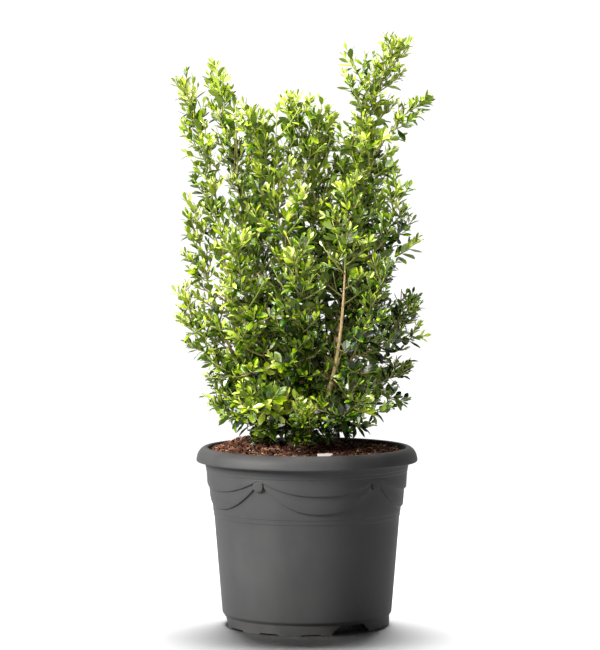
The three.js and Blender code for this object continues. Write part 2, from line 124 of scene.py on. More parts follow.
# Pot: rings, hung swags, knobs and ledges in relief
RING_HEIGHTS = (0.1340, 0.1398)
RING_STEP = 0.0004
RING_HALF = 0.0003
SWAG_COUNT = 5
SWAG_AZIMUTH = math.radians(7.7)
SWAG_TURN = 2 * math.pi / SWAG_COUNT
LOWER_SWAG = {"z": 0.1844, "sag": 0.0374, "relief": 0.0024}
UPPER_SWAG = {"z": 0.1868, "sag": 0.0180, "relief": 0.0021}
SWAG_FULLNESS = 2.3
SWAG_EDGE = 0.0003
LEDGES = ((0.1888, 0.0004), (0.1930, 0.0004))
KNOB_TURN = math.radians(-0.6)
KNOB_HALF_WIDTH = 0.0062
KNOB_CORNER = 0.0048
KNOB_TOP_Z = 0.1887
KNOB_LENGTH = 0.0151
KNOB_RELIEF = 0.0048
KNOB_SUNK = 0.0015
KNOB_RISE = ((1.0, 0.90), (0.985, 0.98), (0.95, 1.0), (0.4, 1.0))
KNOB_CORNER_POINTS = 8
KNOB_SIDE_POINTS = 6
KNOB_TOP_POINTS = 9

# Pot: notches in the foot, all of one pitch, every fourth one large, and the drains
NOTCH_AZIMUTH = math.radians(33)
NOTCH_COUNT = 12
LARGE_NOTCH_EVERY = 4
LARGE_NOTCH = {"half_foot": 0.0306, "half_top": 0.0160, "height": 0.0118}
SMALL_NOTCH = {"half_foot": 0.0135, "half_top": 0.0115, "height": 0.0016}
DRAIN_COUNT = 6
DRAIN_R = 0.005
DRAIN_RING_R = 0.083
DRAIN_SIDES = 24
DRAIN_MARGIN = 0.004

# Pot: the shine and the patterns of its plastic, and the dust that lies on its rim and its foot
POT_GLOSS = 0.22
POT_ROUGHNESS = 0.60
CLOUD_ROUGHNESS = (0.55, 0.66)
POT_CLOUDS = {"scale": (14, 14, 9), "detail": 3.0, "low": 0.35, "high": 0.7}
POT_GRAIN = {"scale": (900, 900, 900), "detail": 2.0, "low": 0.3, "high": 0.7, "relief": 0.00012}
POT_SCUFFS = {"scale": (70, 70, 260), "detail": 6.0, "low": 0.58, "high": 0.72}
POT_DARK = 0.90
POT_LIGHT = 1.06
GRAIN_SHARE = 0.12
SCUFF_SHARE = 0.10
DUST_COLOUR = (0.62, 0.56, 0.50)
DUST_COVER = 0.30
DUSTY_FOOT_Z = 0.012
DUSTY_FOOT_SHARE = 0.5
DUSTY_RIM_Z = (0.2135, 0.2175)
DUSTY_RIM_SHARE = 0.35

# Mulch: a dome with a heap, clods and ripples, and a small gap to the pot
SEAT_GAP = 0.0003
SOIL_EDGE_Z = 0.208
SOIL_DOME = 0.008
SOIL_FLAT_R = 0.038
HEAP = {"x": -0.072, "y": 0.012, "spread": 0.024, "height": 0.013}
MULCH_EDGE_R = RIM_MOUTH_R - 0.0026
MULCH_HEART_R = 0.003
MULCH_FOOT_INSET = 0.002
MULCH_SIDE_Z = (CHANNEL_FLOOR_Z + 0.002, 0.06, 0.12, LOWER_SWAG["z"] - 0.001)
MULCH_COLUMNS = 180
MULCH_RINGS = 70
CLODS = 0.0016
CLOD_WAVES = ((0.016, 3, 1.0), (0.006, 4, 0.6))
RIPPLE_WAVES = 12
RIPPLE_SIZES = (0.6, 1.5)
RIPPLE_PEAK = 5
MULCH_CHANNEL_INSET = 0.005
MULCH_RIM_INSET = 0.0007
MULCH_RIM_DROP = 0.002

# Mulch: the patterns of the fine stuff between the chips
SOIL_ROUGHNESS = 0.92
CRUMB_ROUGHNESS = (0.96, 0.86)
SOIL_CRUMBS = {"scale": (340, 340, 340), "detail": 5.0, "low": 0.40, "high": 0.62, "relief": 0.0014}
SOIL_PATCHES = {"scale": (50, 50, 50), "detail": 2.0, "low": 0.40, "high": 0.60}
SOIL_DARK = 0.55
SOIL_PATCH_SHARE = 0.5

# Label: a plate that leans back and is pushed a little into the mulch
LABEL_SUNK = 0.0013
LABEL_TILT = math.radians(68)
LABEL_HALF_WIDTH = 0.0090
LABEL_HALF_DEPTH = 0.0057
LABEL_CORNER = 0.0006
LABEL_THICKNESS = 0.0009
LABEL_BOW = 0.0002
LABEL_RISE = ((0.5, -1.0), (0.985, -1.0), (1.0, -0.7), (1.0, 0.7), (0.985, 1.0), (0.5, 1.0))
LABEL_CORNER_POINTS = 5
LABEL_SHARP = 40
LABEL_ROUGHNESS = 0.5
SMEAR_ROUGHNESS = (0.45, 0.7)
LABEL_SMEARS = {"scale": (240, 240, 240), "detail": 4.0, "low": 0.56, "high": 0.74}
SMEAR_SHARE = 0.5
EARTH_COLOUR = (0.42, 0.28, 0.20)
EARTH_COVER = 0.4

# Root crown: where the stems come together
CROWN = Vector((-0.006, 0.0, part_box("root_crown")[0].z))
CROWN_HEART = np.array((CROWN.x, CROWN.y, CROWN.z + 0.014))
CROWN_PROFILE = (
    (0.0270, 0.000),
    (0.0210, 0.004),
    (0.0170, 0.011),
    (0.0155, 0.020),
    (0.0120, 0.027),
    (0.0060, 0.031),
)

# Growth rule of the frame: side shoots stand round a stem by the golden angle, and each mass
# keeps to the space in which its own stem is the nearest
GOLDEN_TURN = math.radians(137.508)
SHOOT_ANGLES = (math.radians(66), math.radians(30))
SHOOT_TAPER = 0.4
SHOOT_TAPER_POWER = 1.6
TIP_SLIMMING = 0.45
CELL_SAMPLES = 9
CELL_LIMIT = 1.20
LONG_LIMIT = 2.0
CROWN_LIMIT = 0.95
LOWEST_LEAF_Z = 0.2195
WOOD_TAPER = 0.55
FIRST_SIDE = np.array((0.31, 0.95, 0.07))
NEARLY_UP = (0.05, 0.02, 1.0)

# Control points of curves that have none of their own, as shares of the way to their tip
RISING_BENDS = ((0.42, 0.42, 0.16), (0.84, 0.84, 0.60))
LONG_BENDS = ((0.30, 0.30, 0.34), (0.68, 0.68, 0.68))

# Stems and shoots, each a cubic curve from its parent to its tip, as in the frame
BARE_STEM = "front"
STEMS = (
    {"name": "left", "bends": ((-0.128, -0.016, 0.266), (-0.074, -0.026, 0.520)),
     "tip": (-0.152, -0.010, 0.662), "wood": 0.40, "r": 0.0040, "reach": 0.048},
    {"name": "left_inner", "bends": ((-0.062, -0.022, 0.318), (-0.070, -0.030, 0.520)),
     "tip": (-0.114, 0.012, 0.668), "wood": 0.38, "r": 0.0036, "reach": 0.050,
     "long": ((0.90, (-0.110, -0.004, 0.682)), (0.72, (-0.086, -0.040, 0.630)))},
    {"name": "centre", "bends": ((-0.002, -0.060, 0.330), (-0.030, -0.072, 0.500)),
     "tip": (-0.062, -0.028, 0.618), "wood": 0.36, "r": 0.0032, "reach": 0.056,
     "long": ((0.76, (-0.036, -0.034, 0.628)), (0.86, (-0.076, -0.044, 0.634)))},
    {"name": "front", "bends": ((0.040, -0.050, 0.280), (0.045, -0.090, 0.370)),
     "tip": (0.047, -0.084, 0.532), "wood": 0.66, "r": 0.0034, "reach": 0.054},
    {"name": "right", "bends": ((0.084, 0.016, 0.400), (0.026, 0.020, 0.560)),
     "tip": (0.111, 0.000, 0.700), "wood": 0.50, "r": 0.0042, "reach": 0.056, "loose": 1.35,
     "long": ((0.84, (0.048, -0.004, 0.700)), (0.80, (0.050, -0.020, 0.664)),
              (0.90, (0.108, -0.006, 0.712)))},
    {"name": "back_left", "bends": ((-0.066, 0.092, 0.320), (-0.046, 0.074, 0.470)),
     "tip": (-0.066, 0.104, 0.596), "wood": 0.34, "r": 0.0036, "reach": 0.062},
    {"name": "back_right", "bends": ((0.066, 0.096, 0.330), (0.044, 0.074, 0.480)),
     "tip": (0.074, 0.108, 0.600), "wood": 0.34, "r": 0.0036, "reach": 0.062},
    {"name": "back", "bends": ((-0.006, 0.060, 0.350), (0.008, 0.034, 0.500)),
     "tip": (0.022, 0.050, 0.612), "wood": 0.36, "r": 0.0034, "reach": 0.056},
)
BRANCHES = (
    {"name": "right_arm", "parent": "right", "at": 0.80,
     "bends": ((0.062, 0.004, 0.545), (0.096, -0.006, 0.622)), "tip": (0.146, -0.008, 0.637),
     "wood": 0.50, "r": 0.0020, "reach": 0.030, "loose": 1.15},
    {"name": "centre_arm", "parent": "right", "at": 0.74, "tip": (-0.012, -0.014, 0.648),
     "wood": 0.40, "r": 0.0020, "reach": 0.044,
     "long": ((0.60, (0.018, -0.030, 0.638)), (0.75, (-0.030, -0.020, 0.640)))},
    {"name": "low_left", "parent": "left", "at": 0.16, "tip": (-0.110, -0.024, 0.276),
     "wood": 0.40, "r": 0.0022, "reach": 0.042, "loose": 1.5},
    {"name": "low_right", "parent": "right", "at": 0.16, "tip": (0.116, -0.016, 0.316),
     "wood": 0.42, "r": 0.0024, "reach": 0.044},
    {"name": "front_low_left", "parent": "left_inner", "at": 0.17, "tip": (-0.066, -0.108, 0.286),
     "wood": 0.30, "r": 0.0020, "reach": 0.058},
    {"name": "front_low_right", "parent": "front", "at": 0.17, "tip": (0.060, -0.114, 0.280),
     "wood": 0.30, "r": 0.0020, "reach": 0.058},
    {"name": "back_low_left", "parent": "back_left", "at": 0.16, "tip": (-0.082, 0.092, 0.288),
     "wood": 0.30, "r": 0.0020, "reach": 0.060},
    {"name": "back_low_right", "parent": "back_right", "at": 0.16, "tip": (0.072, 0.098, 0.290),
     "wood": 0.30, "r": 0.0020, "reach": 0.060},
)
SPRAYS = (
    {"name": "left_middle", "parent": "left", "at": 0.70,
     "tip": (-0.136, -0.034, 0.508), "reach": 0.046},
    {"name": "left_outer", "parent": "left", "at": 0.45,
     "tip": (-0.150, 0.004, 0.404), "reach": 0.044},
    {"name": "front_left", "parent": "left_inner", "at": 0.60,
     "tip": (-0.084, -0.106, 0.466), "reach": 0.058},
    {"name": "front_centre", "parent": "centre", "at": 0.50,
     "tip": (-0.012, -0.126, 0.466), "reach": 0.058},
    {"name": "front_right", "parent": "front", "at": 0.50,
     "tip": (0.088, -0.098, 0.436), "reach": 0.056},
    {"name": "front_foot", "tip": (-0.004, -0.104, 0.262), "reach": 0.046},
    {"name": "right_middle", "parent": "right", "at": 0.60,
     "tip": (0.110, -0.026, 0.528), "reach": 0.058, "loose": 1.1},
    {"name": "right_outer", "parent": "right", "at": 0.34,
     "tip": (0.122, 0.004, 0.382), "reach": 0.060},
    {"name": "back_middle", "parent": "back", "at": 0.42,
     "tip": (0.000, 0.130, 0.466), "reach": 0.058},
    {"name": "back_foot", "tip": (-0.004, 0.104, 0.262), "reach": 0.046},
)

# Finer growth than the frame's: side shoots, the twigs on them and short shoots on bare wood
LIMB_SHOOT = (0.022, 0.050)
LIMB_SHOOT_STEP = 0.0075
SHORTEST_SHOOT = 0.014
SHORTEST_TWIG = 0.009
SHORTER = 0.9 ** np.arange(10)
SHOOT_RISE = 0.20
SHOOT_BEND = 0.55
SHOOT_LEAN = 0.25
SHOOT_SPANS = (0.70, 1.24)
TURN_SPREAD = 0.25
LIMB_SHOOT_START = 0.12
TWIG_PLACES = (0.24, 0.44, 0.64)
PLACE_SPREAD = 0.07
TWIG_ANGLE = math.radians(46)
TWIG_ANGLE_SPREAD = 0.14
TWIG_LIFT = (0.15, 0.55)
TWIG_SHARE = 0.74
TWIG_SHORTENING = 0.42
TWIG_SPANS = (0.62, 1.15)
VIGOUR_SHARED = 0.7
LEADER_TIP_R = 0.0006
SHOOT_R = (0.00115, 0.00055)
TWIG_R = (0.00080, 0.00048)
SPRAY_STEM_R = 0.0015
LEADER_RINGS = 26
LEADER_SIDES = 8
LEADER_OVERLAP = 0.004
LEADER_END = 0.995
LEADER_TAPER_POWER = 0.8

# Rings, sides and radii of side shoots and of twigs, which take turns in a mass
SHOOT_TUBES = ((6, 5, SHOOT_R), (4, 4, TWIG_R))

# Bark: the light at which a twig's colour changes, partly its age and partly painted light and shade,
# and the places along a leading stem
TWIG_SHADE = 0.06
TWIG_LIGHT = (0.16, 0.50, 0.66)
TWIG_LIGHT_SPREAD = 0.20
LEADER_CHANGES = (0.34, 0.80, 0.90)

# Bark: its cracks, green patches and darker brown foot
CRACK_COLOUR = (0.33, 0.25, 0.17)
ALGAE_COLOUR = (0.56, 0.57, 0.36)
FOOT_BARK_COLOUR = (0.25, 0.18, 0.13)
FOOT_BARK_Z = (0.216, 0.262)
FOOT_BARK_SHARE = 0.65
BARK_ROUGHNESS = 0.8
STREAK_ROUGHNESS = (0.92, 0.70)
BARK_STREAKS = {"scale": (420, 420, 60), "detail": 5.0, "low": 0.35, "high": 0.65, "relief": 0.0004}
BARK_CRACKS = {"scale": (900, 900, 130), "detail": 3.0, "low": 0.42, "high": 0.56, "relief": 0.0005}
BARK_PATCHES = {"scale": (60, 60, 28), "detail": 2.0, "low": 0.40, "high": 0.62}
CRACK_SHARE = 0.50
ALGAE_SHARE = 0.40

# Bark: ridges round a limb, and swellings where others leave it
BARK_SEED = SEED + 100
LIMB_SIDES = 22
LIMB_RING_STEP = 0.0016
FEWEST_LIMB_RINGS = 12
BARK_RIDGES = (2, 3, 5, 7)
RIDGE_DRIFT = 60
RIDGE_WANDER = 0.8
WANDER_WAVES = (90, 260)
WANDER_PHASES = (0, 6)
CRACK_LENGTH = 0.004
RIDGE_RELIEF = 0.10
RIPPLE_RELIEF = 0.05
SWELLING = 0.28
SWELLING_REACH = 1.6

# Bark of the root crown: its lobes as size, number, phase and drift with height, and its cracks
CROWN_COLUMNS = 72
CROWN_LOBES = ((0.10, 5, 0.6, 0), (0.05, 8, 2.1, 60))
CROWN_INSET = 0.10
CROWN_CRACK_R = 0.02
CROWN_CRACK_LENGTH = 0.006
CROWN_CAP = 0.001
CROWN_RINGS = 34
CROWN_SEED = 77

# Leafing of stems, side shoots and twigs: gap, share leafy, size
LEAFING = (
    (1.20, 0.62, 1.06),
    (1.00, 0.84, 1.00),
    (0.90, 0.92, 0.92),
)

# Leaves: station shares along the blade with their share of the width
LEAF_STATIONS = ((0.14, 0.28), (0.40, 0.84), (0.64, 1.0), (0.88, 0.54))
LEAF_THICKNESS = 0.00034
LEAF_MIDDLE = 0.6
LEAF_STALK = 0.0004
LEAF_NODES = 14
NODE_GROWTH = 0.55
NODE_POWER = 1.25
NODE_SPREAD = 0.10
TIP_GAP = 0.0010
NODE_SHARES = (0.02, 0.985)
YOUNG_WIDTH = 0.72
YOUNG_SIZE = 0.50
SIZE_START = 0.2
SIZE_NODES = 3.2
LEAF_SIZES = (0.78, 1.18)
LEAF_WIDTHS = (0.84, 1.14)
LEAF_FOLD = (0.20, 0.18)
LEAF_CURL = (-0.08, 0.14)
LEAF_BEND = 0.35
LEAF_FOOT_THICK = 1.15
LEAF_THINNING = 0.5
LEAF_GLOSS = 0.70
# Leaves: steps of colour from foot to tip, and one half of each blade lighter as painted light, the
# other darker as painted shade
LENGTH_SHADE = 2.6
PAINTED_HALF_SHADE = 0.45

# Leaves: the nodes from the tip that are young, fresh or darker, counted from 0
YOUNG_NODES = 3
FRESH_NODES = 3
DARKEST_NODE = 4

# Leaves: turn round their shoot, degrees off it, more below its tip, and what their faces turn to
ROLL_SPREAD = 0.5
LEAF_SPLAY = 24
GROWN_SPLAY = 36
SPLAY_SPREAD = 10
WAY_SPREAD = 0.12
WAY_RISE = (0, 0, 0.06)
FACE_INWARDS = 0.66
FACE_UP = (0, 0, 0.62)
FACE_OUTWARDS = 0.16
FACE_SPREAD = 0.34

# Light in the crown, by how far out, high, left and forward a leaf stands, painted into the colour of
# leaves and twigs as painted light and shade
MIDDLE_X = -0.005
CROWN_HALF = 0.15
CROWN_FOOT_Z = 0.23
CROWN_RISE = 0.46
BASE_LIGHT = 0.05
OUTER_LIGHT = 0.38
HIGH_LIGHT = 0.46
TOP_LIGHT = 0.66
LEFT_LIGHT = 0.03
LOW_LEFT_LIGHT = 0.40
LOW_FRONT_LIGHT = 0.44
LOW_FRONT_MIDDLE = 0.55
LOW_FRONT_LEFT = 0.45
GROUND_SHADE = 0.15
GROUND_SHADE_Z = 0.27
GROUND_SHADE_FADE = 0.05

# Light on single leaves: vigorous shoots, fresh tips, and each node further down
VIGOUR_LIGHT = 0.16
FRESH_VIGOUR = 1.35
FRESH_LIGHT = 0.30
NODE_SHADE = 0.10
LIGHT_SPREAD = 0.12
COLOURS_PER_LIGHT = 0.92

# Bright young sprays low at the front: where they are, as x and z, and how far they reach
YOUNG_SPRAYS = ((-0.044, 0.318), (-0.040, 0.268), (0.010, 0.268))
YOUNG_REACH = 0.012
YOUNG_FADE = 1.5
YOUNG_FRONT = -0.040
YOUNG_LIGHT = 0.44

# Stretch of the bare stem that leaves keep clear of, and the gap towards the front and the light
STEM_SEEN = (0.34, 0.80)
STEM_SAMPLES = 50
STEM_BEHIND = -0.002
STEM_VIEWS = (((0.0, -1.0, 0.04), 0.0058), ((-0.51, -0.43, 0.74), 0.0045))

# Depth of the bumps that a mottled finish has unless it gives its own
FINE_RELIEF = 0.0002

# Colours from the shaded heart of the crown to its new growth, as sRGB, picked by age, vigour and the
# painted light and shade of light_at
LEAF_COLOURS = (
    ("leaf shade", (0.050, 0.105, 0.002), 0.22),
    ("leaf deep", (0.105, 0.195, 0.004), 0.20),
    ("leaf mature", (0.195, 0.320, 0.006), 0.21),
    ("leaf green", (0.345, 0.455, 0.008), 0.24),
    ("leaf fresh", (0.475, 0.570, 0.012), 0.30),
    ("leaf bright", (0.555, 0.620, 0.050), 0.34),
    ("leaf young", (0.605, 0.660, 0.150), 0.38),
    ("leaf lime", (0.650, 0.690, 0.340), 0.42),
)
UNDERSIDE_COLOURS = (
    ("leaf underside", (0.370, 0.465, 0.120), 0.55),
    ("young underside", (0.560, 0.640, 0.180), 0.60),
)
TWIG_COLOURS = (
    ("twig old", (0.500, 0.430, 0.280), 0.75),
    ("twig olive", (0.430, 0.440, 0.190), 0.65),
    ("twig tan", (0.580, 0.550, 0.300), 0.65),
    ("twig young", (0.560, 0.610, 0.250), 0.55),
    ("twig bare", (0.720, 0.620, 0.440), 0.75),
)
CHIP_COLOURS = (
    ("chip red brown", (0.380, 0.210, 0.130), 0.85),
    ("chip brown", (0.275, 0.155, 0.095), 0.88),
    ("chip dark", (0.150, 0.078, 0.050), 0.90),
    ("chip tan", (0.520, 0.360, 0.250), 0.82),
    ("chip pale", (0.700, 0.570, 0.450), 0.80),
)
CHIP_SHARES = (0.36, 0.27, 0.25, 0.10, 0.02)
FIBRE_SHARES = (0.38, 0.18, 0.08, 0.27, 0.09)

# Bark chips and fibres: their sizes, and how they lie on the mulch
CHIP_CORNERS = 6
CHIP_OVAL = 0.9
CHIP_UNEVEN = (0.62, 1.12)
CHIP_FACES = (0.86, 1.0)
CHIP_SPREAD = (-0.12, 0.42)
CHIP_WIDTHS = (0.18, 0.50)
CHIP_THINNESS = (0.10, 0.24)
CHIP_THICKNESS = (0.0006, 0.0022)
CHIP_WARP = 0.18
CHIP_TILT = 0.80
CHIP_EDGE_R = RIM_MOUTH_R - 0.0022
CHIP_HEIGHTS = (-0.0020, 0.0034)
CHIP_LIFT = 0.08
CHIP_HEART_SHARE = 0.012
FIBRE_SEED = SEED + 7
FIBRE_RINGS = 6
FIBRE_LENGTH = (0.006, 0.015)
FIBRE_R = (0.00030, 0.00065)
FIBRE_EDGE_R = RIM_MOUTH_R - 0.004
FIBRE_HEIGHTS = (0.0004, 0.0030)
FIBRE_HEART_SHARE = 0.03
FIBRE_SLOPE = 0.10
FIBRE_ARCH = (0.02, 0.22)
FIBRE_BEND = 0.12

# Camera: at the photograph's height and distance
CAMERA_PLACE = (-0.0085, -3.5, 0.554)
CAMERA_AIM = (-0.0085, 0.0, 0.366)

# Stage: a round floor, and where the surroundings fade from front to back
FLOOR_R = 1.5
FLOOR_SIDES = 96
SKY_FADE = (0.6, 0.97)

# Lamps: azimuth and elevation in degrees, distance, size, what it lights and what shades it
LAMP_AIM = Vector((0.0, 0.0, 0.36))
LAMP_COLOUR = (1.0, 0.985, 0.95)
FLOOR_LAMP_COLOUR = (0.985, 0.985, 1.0)
POT_PIECES = ("pot", "mulch", "label")
PLANT_PIECES = ("leaves", "twigs", "bark")
LAMPS = {
    "top": (180, 86, 2.0, 1.6, POT_PIECES + PLANT_PIECES, None),
    "pot": (-57, 24, 2.3, 1.0, POT_PIECES, None),
    "plant": (-50, 48, 2.4, 1.1, PLANT_PIECES, None),
    "fill": (-14, 16, 2.6, 1.8, PLANT_PIECES, None),
    "low": (16, -11, 1.6, 0.6, POT_PIECES, POT_PIECES),
    "floor": (180, 62, 3.0, 2.0, ("floor",), POT_PIECES),
}


def linear(colour):
    """sRGB shares as a linear colour with alpha: ((c + 0.055) / 1.055) ^ 2.4, or c / 12.92 where
    they are dark."""
    parts = [c / 12.92 if c <= 0.04045 else ((c + 0.055) / 1.055) ** 2.4 for c in colour]
    return (*parts, 1.0)


# Meshes from arrays


def signed_volume(points, triangles):
    """The sum of a . (b x c) / 6 over triangles: above 0 where they face outwards."""
    a, b, c = (points[triangles[:, i]] for i in range(3))
    return float(np.einsum("ij,ij->i", a, np.cross(b, c)).sum() / 6)


def new_piece(name, skin, materials, slots=None, smooth=True):
    """One mesh object at the origin. A skin is its points and an array of faces for each number
    of corners."""
    points, *faces = skin
    mesh = bpy.data.meshes.new(name)
    points = np.asarray(points, np.float32).reshape(-1, 3)
    corners = np.concatenate([f.ravel() for f in faces]).astype(np.int32)
    sizes = np.concatenate([np.full(len(f), f.shape[1]) for f in faces])
    mesh.vertices.add(len(points))
    mesh.vertices.foreach_set("co", points.ravel())
    mesh.loops.add(len(corners))
    mesh.loops.foreach_set("vertex_index", corners)
    mesh.polygons.add(len(sizes))
    mesh.polygons.foreach_set("loop_start", (np.cumsum(sizes) - sizes).astype(np.int32))
    for material in materials:
        mesh.materials.append(material)
    if slots is not None:
        mesh.polygons.foreach_set("material_index", np.asarray(slots, np.int32))
    mesh.polygons.foreach_set("use_smooth", np.full(len(sizes), smooth))
    mesh.update(calc_edges=True)
    mesh.validate()
    piece = bpy.data.objects.new(name, mesh)
    bpy.context.scene.collection.objects.link(piece)
    return piece


def dress(piece, slot, *nodes):
    """The piece rides on the plant's one body and stands for the nodes, which it hides; its slot is not
    used.
    """
    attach(piece, "root")
    if nodes:
        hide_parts(*nodes)


def full_turn(steps):
    """The angles of a full turn in equal steps."""
    return 2 * np.pi * np.arange(steps) / steps


def outward(points, quads, caps):
    """The quads and caps of a closed skin, turned over where they face inwards."""
    triangles = np.concatenate([quads[:, [0, 1, 2]], quads[:, [0, 2, 3]], caps])
    if signed_volume(points, triangles) < 0:
        return quads[:, ::-1], caps[:, ::-1]
    return quads, caps


def repeated(faces, count, points_each):
    """The faces of one skin for each of many like it: the indices of skin n move on by n times
    its points."""
    shift = (np.arange(count) * points_each)[:, None, None]
    return (faces + shift).reshape(-1, faces.shape[-1])


def wrapped_faces(rows, columns):
    """Faces of a closed skin: a pole, then rows of wrapped columns, then a second pole."""
    row, column = np.meshgrid(np.arange(rows - 1), np.arange(columns), indexing="ij")
    here = 1 + row * columns + column
    beside = 1 + row * columns + (column + 1) % columns
    quads = np.stack([here, beside, beside + columns, here + columns], -1).reshape(-1, 4)
    ring = np.arange(columns)
    after = (ring + 1) % columns
    last = 1 + (rows - 1) * columns
    top = last + columns
    caps = np.concatenate([
        np.stack([np.zeros_like(ring), 1 + after, 1 + ring], -1),
        np.stack([np.full_like(ring, top), last + ring, last + after], -1),
    ])
    return quads, caps


def closed_skin(first, rows, last):
    """Points and faces of a skin of rows x columns x 3 points between two poles, facing outwards."""
    count, columns = rows.shape[:2]
    points = np.concatenate([np.reshape(first, (1, 3)), rows.reshape(-1, 3), np.reshape(last, (1, 3))])
    return points, *outward(points, *wrapped_faces(count, columns))


def joined(skins):
    """Several skins as one: each one's indices move on by the points before it."""
    starts = np.cumsum([0] + [len(points) for points, _, _ in skins])[:-1]
    points = np.concatenate([points for points, _, _ in skins])
    quads = np.concatenate([quads + start for (_, quads, _), start in zip(skins, starts)])
    caps = np.concatenate([caps + start for (_, _, caps), start in zip(skins, starts)])
    return points, quads, caps


def rounded_rows(rows):
    """Rows of (radius, height, rounding), each an array over azimuth, with every corner rounded
    by the arc (1-t)^2 a + 2t(1-t) p + t^2 b between points the rounding away on either side,
    and with long spans divided."""
    section = np.stack([np.stack(np.broadcast_arrays(r, z), -1) for r, z, _ in rows])
    found = [section[0]]
    for before, here, after, (_, _, rounding) in zip(section, section[1:], section[2:], rows[1:]):
        ends = []
        for other in (before, after):
            span = np.linalg.norm(other - here, axis=-1, keepdims=True)
            share = np.minimum(ROUNDED_SHARE, rounding / np.maximum(span, 1e-9))
            ends.append(here + (other - here) * share)
        for t in np.linspace(0, 1, FINE_STEPS if rounding < FINE_ROUNDING else ROUND_STEPS):
            found.append((1 - t) ** 2 * ends[0] + 2 * t * (1 - t) * here + t**2 * ends[1])
    found.append(section[-1])
    filled = [found[0]]
    for before, here in zip(found, found[1:]):
        count = math.ceil(np.linalg.norm(here - before, axis=-1).mean() / SPAN_LIMIT)
        filled += [before + (here - before) * (i + 1) / count for i in range(max(1, count))]
    return np.stack(filled)


def turned(r, z, azimuth):
    """Radius r and height z at an azimuth a as the point (r sin a, -r cos a, z)."""
    return np.stack([r * np.sin(azimuth), -r * np.cos(azimuth), z], -1)


def domed_plate(outline, rise):
    """A closed plate: its outline, n x 2, shrunk by each share and lifted to each height of the
    rise, which is rows of (share, height). Local x, y and height."""
    share, height = (np.array(part)[:, None] for part in zip(*rise))
    rows = np.stack([
        outline[None, :, 0] * share,
        outline[None, :, 1] * share,
        np.broadcast_to(height, (len(rise), len(outline))),
    ], -1)
    return closed_skin((0, 0, rise[0][1]), rows, (0, 0, rise[-1][1]))


def tubes(paths, radii, sides, first_side=FIRST_SIDE):
    """Tapering tubes: n paths of m points and their radii, with a ring of sides round each point,
    in the directions s cos a + (w x s) sin a, where w is the path's way and s lies across it."""
    count, rings = paths.shape[:2]
    ways = unit(np.gradient(paths, axis=1))
    side = unit(np.cross(first_side, ways))
    other = np.cross(ways, side)
    turn = full_turn(sides)
    around = side[:, :, None] * np.cos(turn)[:, None] + other[:, :, None] * np.sin(turn)[:, None]
    radii = radii if radii.ndim == 3 else radii[..., None]
    skin = paths[:, :, None] + around * radii[..., None]
    points = np.concatenate([paths[:, :1], skin.reshape(count, -1, 3), paths[:, -1:]], axis=1)
    faces = outward(points[0], *wrapped_faces(rings, sides))
    return points.reshape(-1, 3), *(repeated(part, count, points.shape[1]) for part in faces)


# Curves


def points_on(curves, shares):
    """(1-t)^3 a + 3t (1-t)^2 b + 3t^2 (1-t) c + t^3 d for each curve's shares t."""
    t = np.asarray(shares, float)[..., None]
    a, b, c, d = (curves[..., i, :][..., None, :] for i in range(4))
    return (1 - t) ** 3 * a + 3 * t * (1 - t) ** 2 * b + 3 * t**2 * (1 - t) * c + t**3 * d


def ways_on(curves, shares):
    """The unit direction of 3(1-t)^2 (b-a) + 6t(1-t) (c-b) + 3t^2 (d-c)."""
    t = np.asarray(shares, float)[..., None]
    a, b, c, d = (curves[..., i, :][..., None, :] for i in range(4))
    return unit(3 * (1 - t) ** 2 * (b - a) + 6 * t * (1 - t) * (c - b) + 3 * t**2 * (d - c))


def unit(vectors):
    """Vectors divided by their length."""
    return vectors / np.maximum(np.linalg.norm(vectors, axis=-1, keepdims=True), 1e-12)


def across(vectors, way):
    """The part of each vector that lies across its unit way: v - (v . w) w."""
    return vectors - (vectors * way).sum(-1, keepdims=True) * way


def curve_length(curve):
    """The length of a curve, as the sum of 64 chords."""
    return np.linalg.norm(np.diff(points_on(curve, np.linspace(0, 1, 65)), axis=0), axis=-1).sum()


# Materials


def add_node(tree, kind, inputs=(), **settings):
    """A shader node with its settings and inputs. An input that is a socket is linked."""
    node = tree.nodes.new(kind)
    for key, value in settings.items():
        setattr(node, key, value)
    for key, value in dict(inputs).items():
        if isinstance(value, bpy.types.NodeSocket):
            tree.links.new(value, node.inputs[key])
        else:
            node.inputs[key].default_value = value
    return node


def mottle_group():
    """Node group: noise on Object coordinates, stretched by a scale on each axis, as a mask
    between two levels and as a bumped normal."""
    tree = bpy.data.node_groups.get("Mottle")
    if tree:
        return tree
    tree = bpy.data.node_groups.new("Mottle", "ShaderNodeTree")
    for name, kind, value in (
        ("Scale", "NodeSocketVector", (60, 60, 60)),
        ("Detail", "NodeSocketFloat", 4.0),
        ("Low", "NodeSocketFloat", 0.35),
        ("High", "NodeSocketFloat", 0.65),
        ("Relief", "NodeSocketFloat", FINE_RELIEF),
    ):
        tree.interface.new_socket(name, in_out="INPUT", socket_type=kind).default_value = value
    tree.interface.new_socket("Mask", in_out="OUTPUT", socket_type="NodeSocketFloat")
    tree.interface.new_socket("Normal", in_out="OUTPUT", socket_type="NodeSocketVector")
    given = add_node(tree, "NodeGroupInput")
    place = add_node(tree, "ShaderNodeTexCoord")
    scaled = add_node(
        tree,
        "ShaderNodeVectorMath",
        {0: place.outputs["Object"], 1: given.outputs["Scale"]},
        operation="MULTIPLY",
    )
    noise = add_node(
        tree,
        "ShaderNodeTexNoise",
        {"Vector": scaled.outputs[0], "Scale": 1.0, "Detail": given.outputs["Detail"], "Roughness": 0.6},
    )
    mask = levels(tree, noise.outputs["Fac"], given.outputs["Low"], given.outputs["High"], 0.0, 1.0)
    bump = add_node(
        tree,
        "ShaderNodeBump",
        {"Height": noise.outputs["Fac"], "Strength": 1.0, "Distance": given.outputs["Relief"]},
    )
    add_node(tree, "NodeGroupOutput", {"Mask": mask, "Normal": bump.outputs["Normal"]})
    return tree


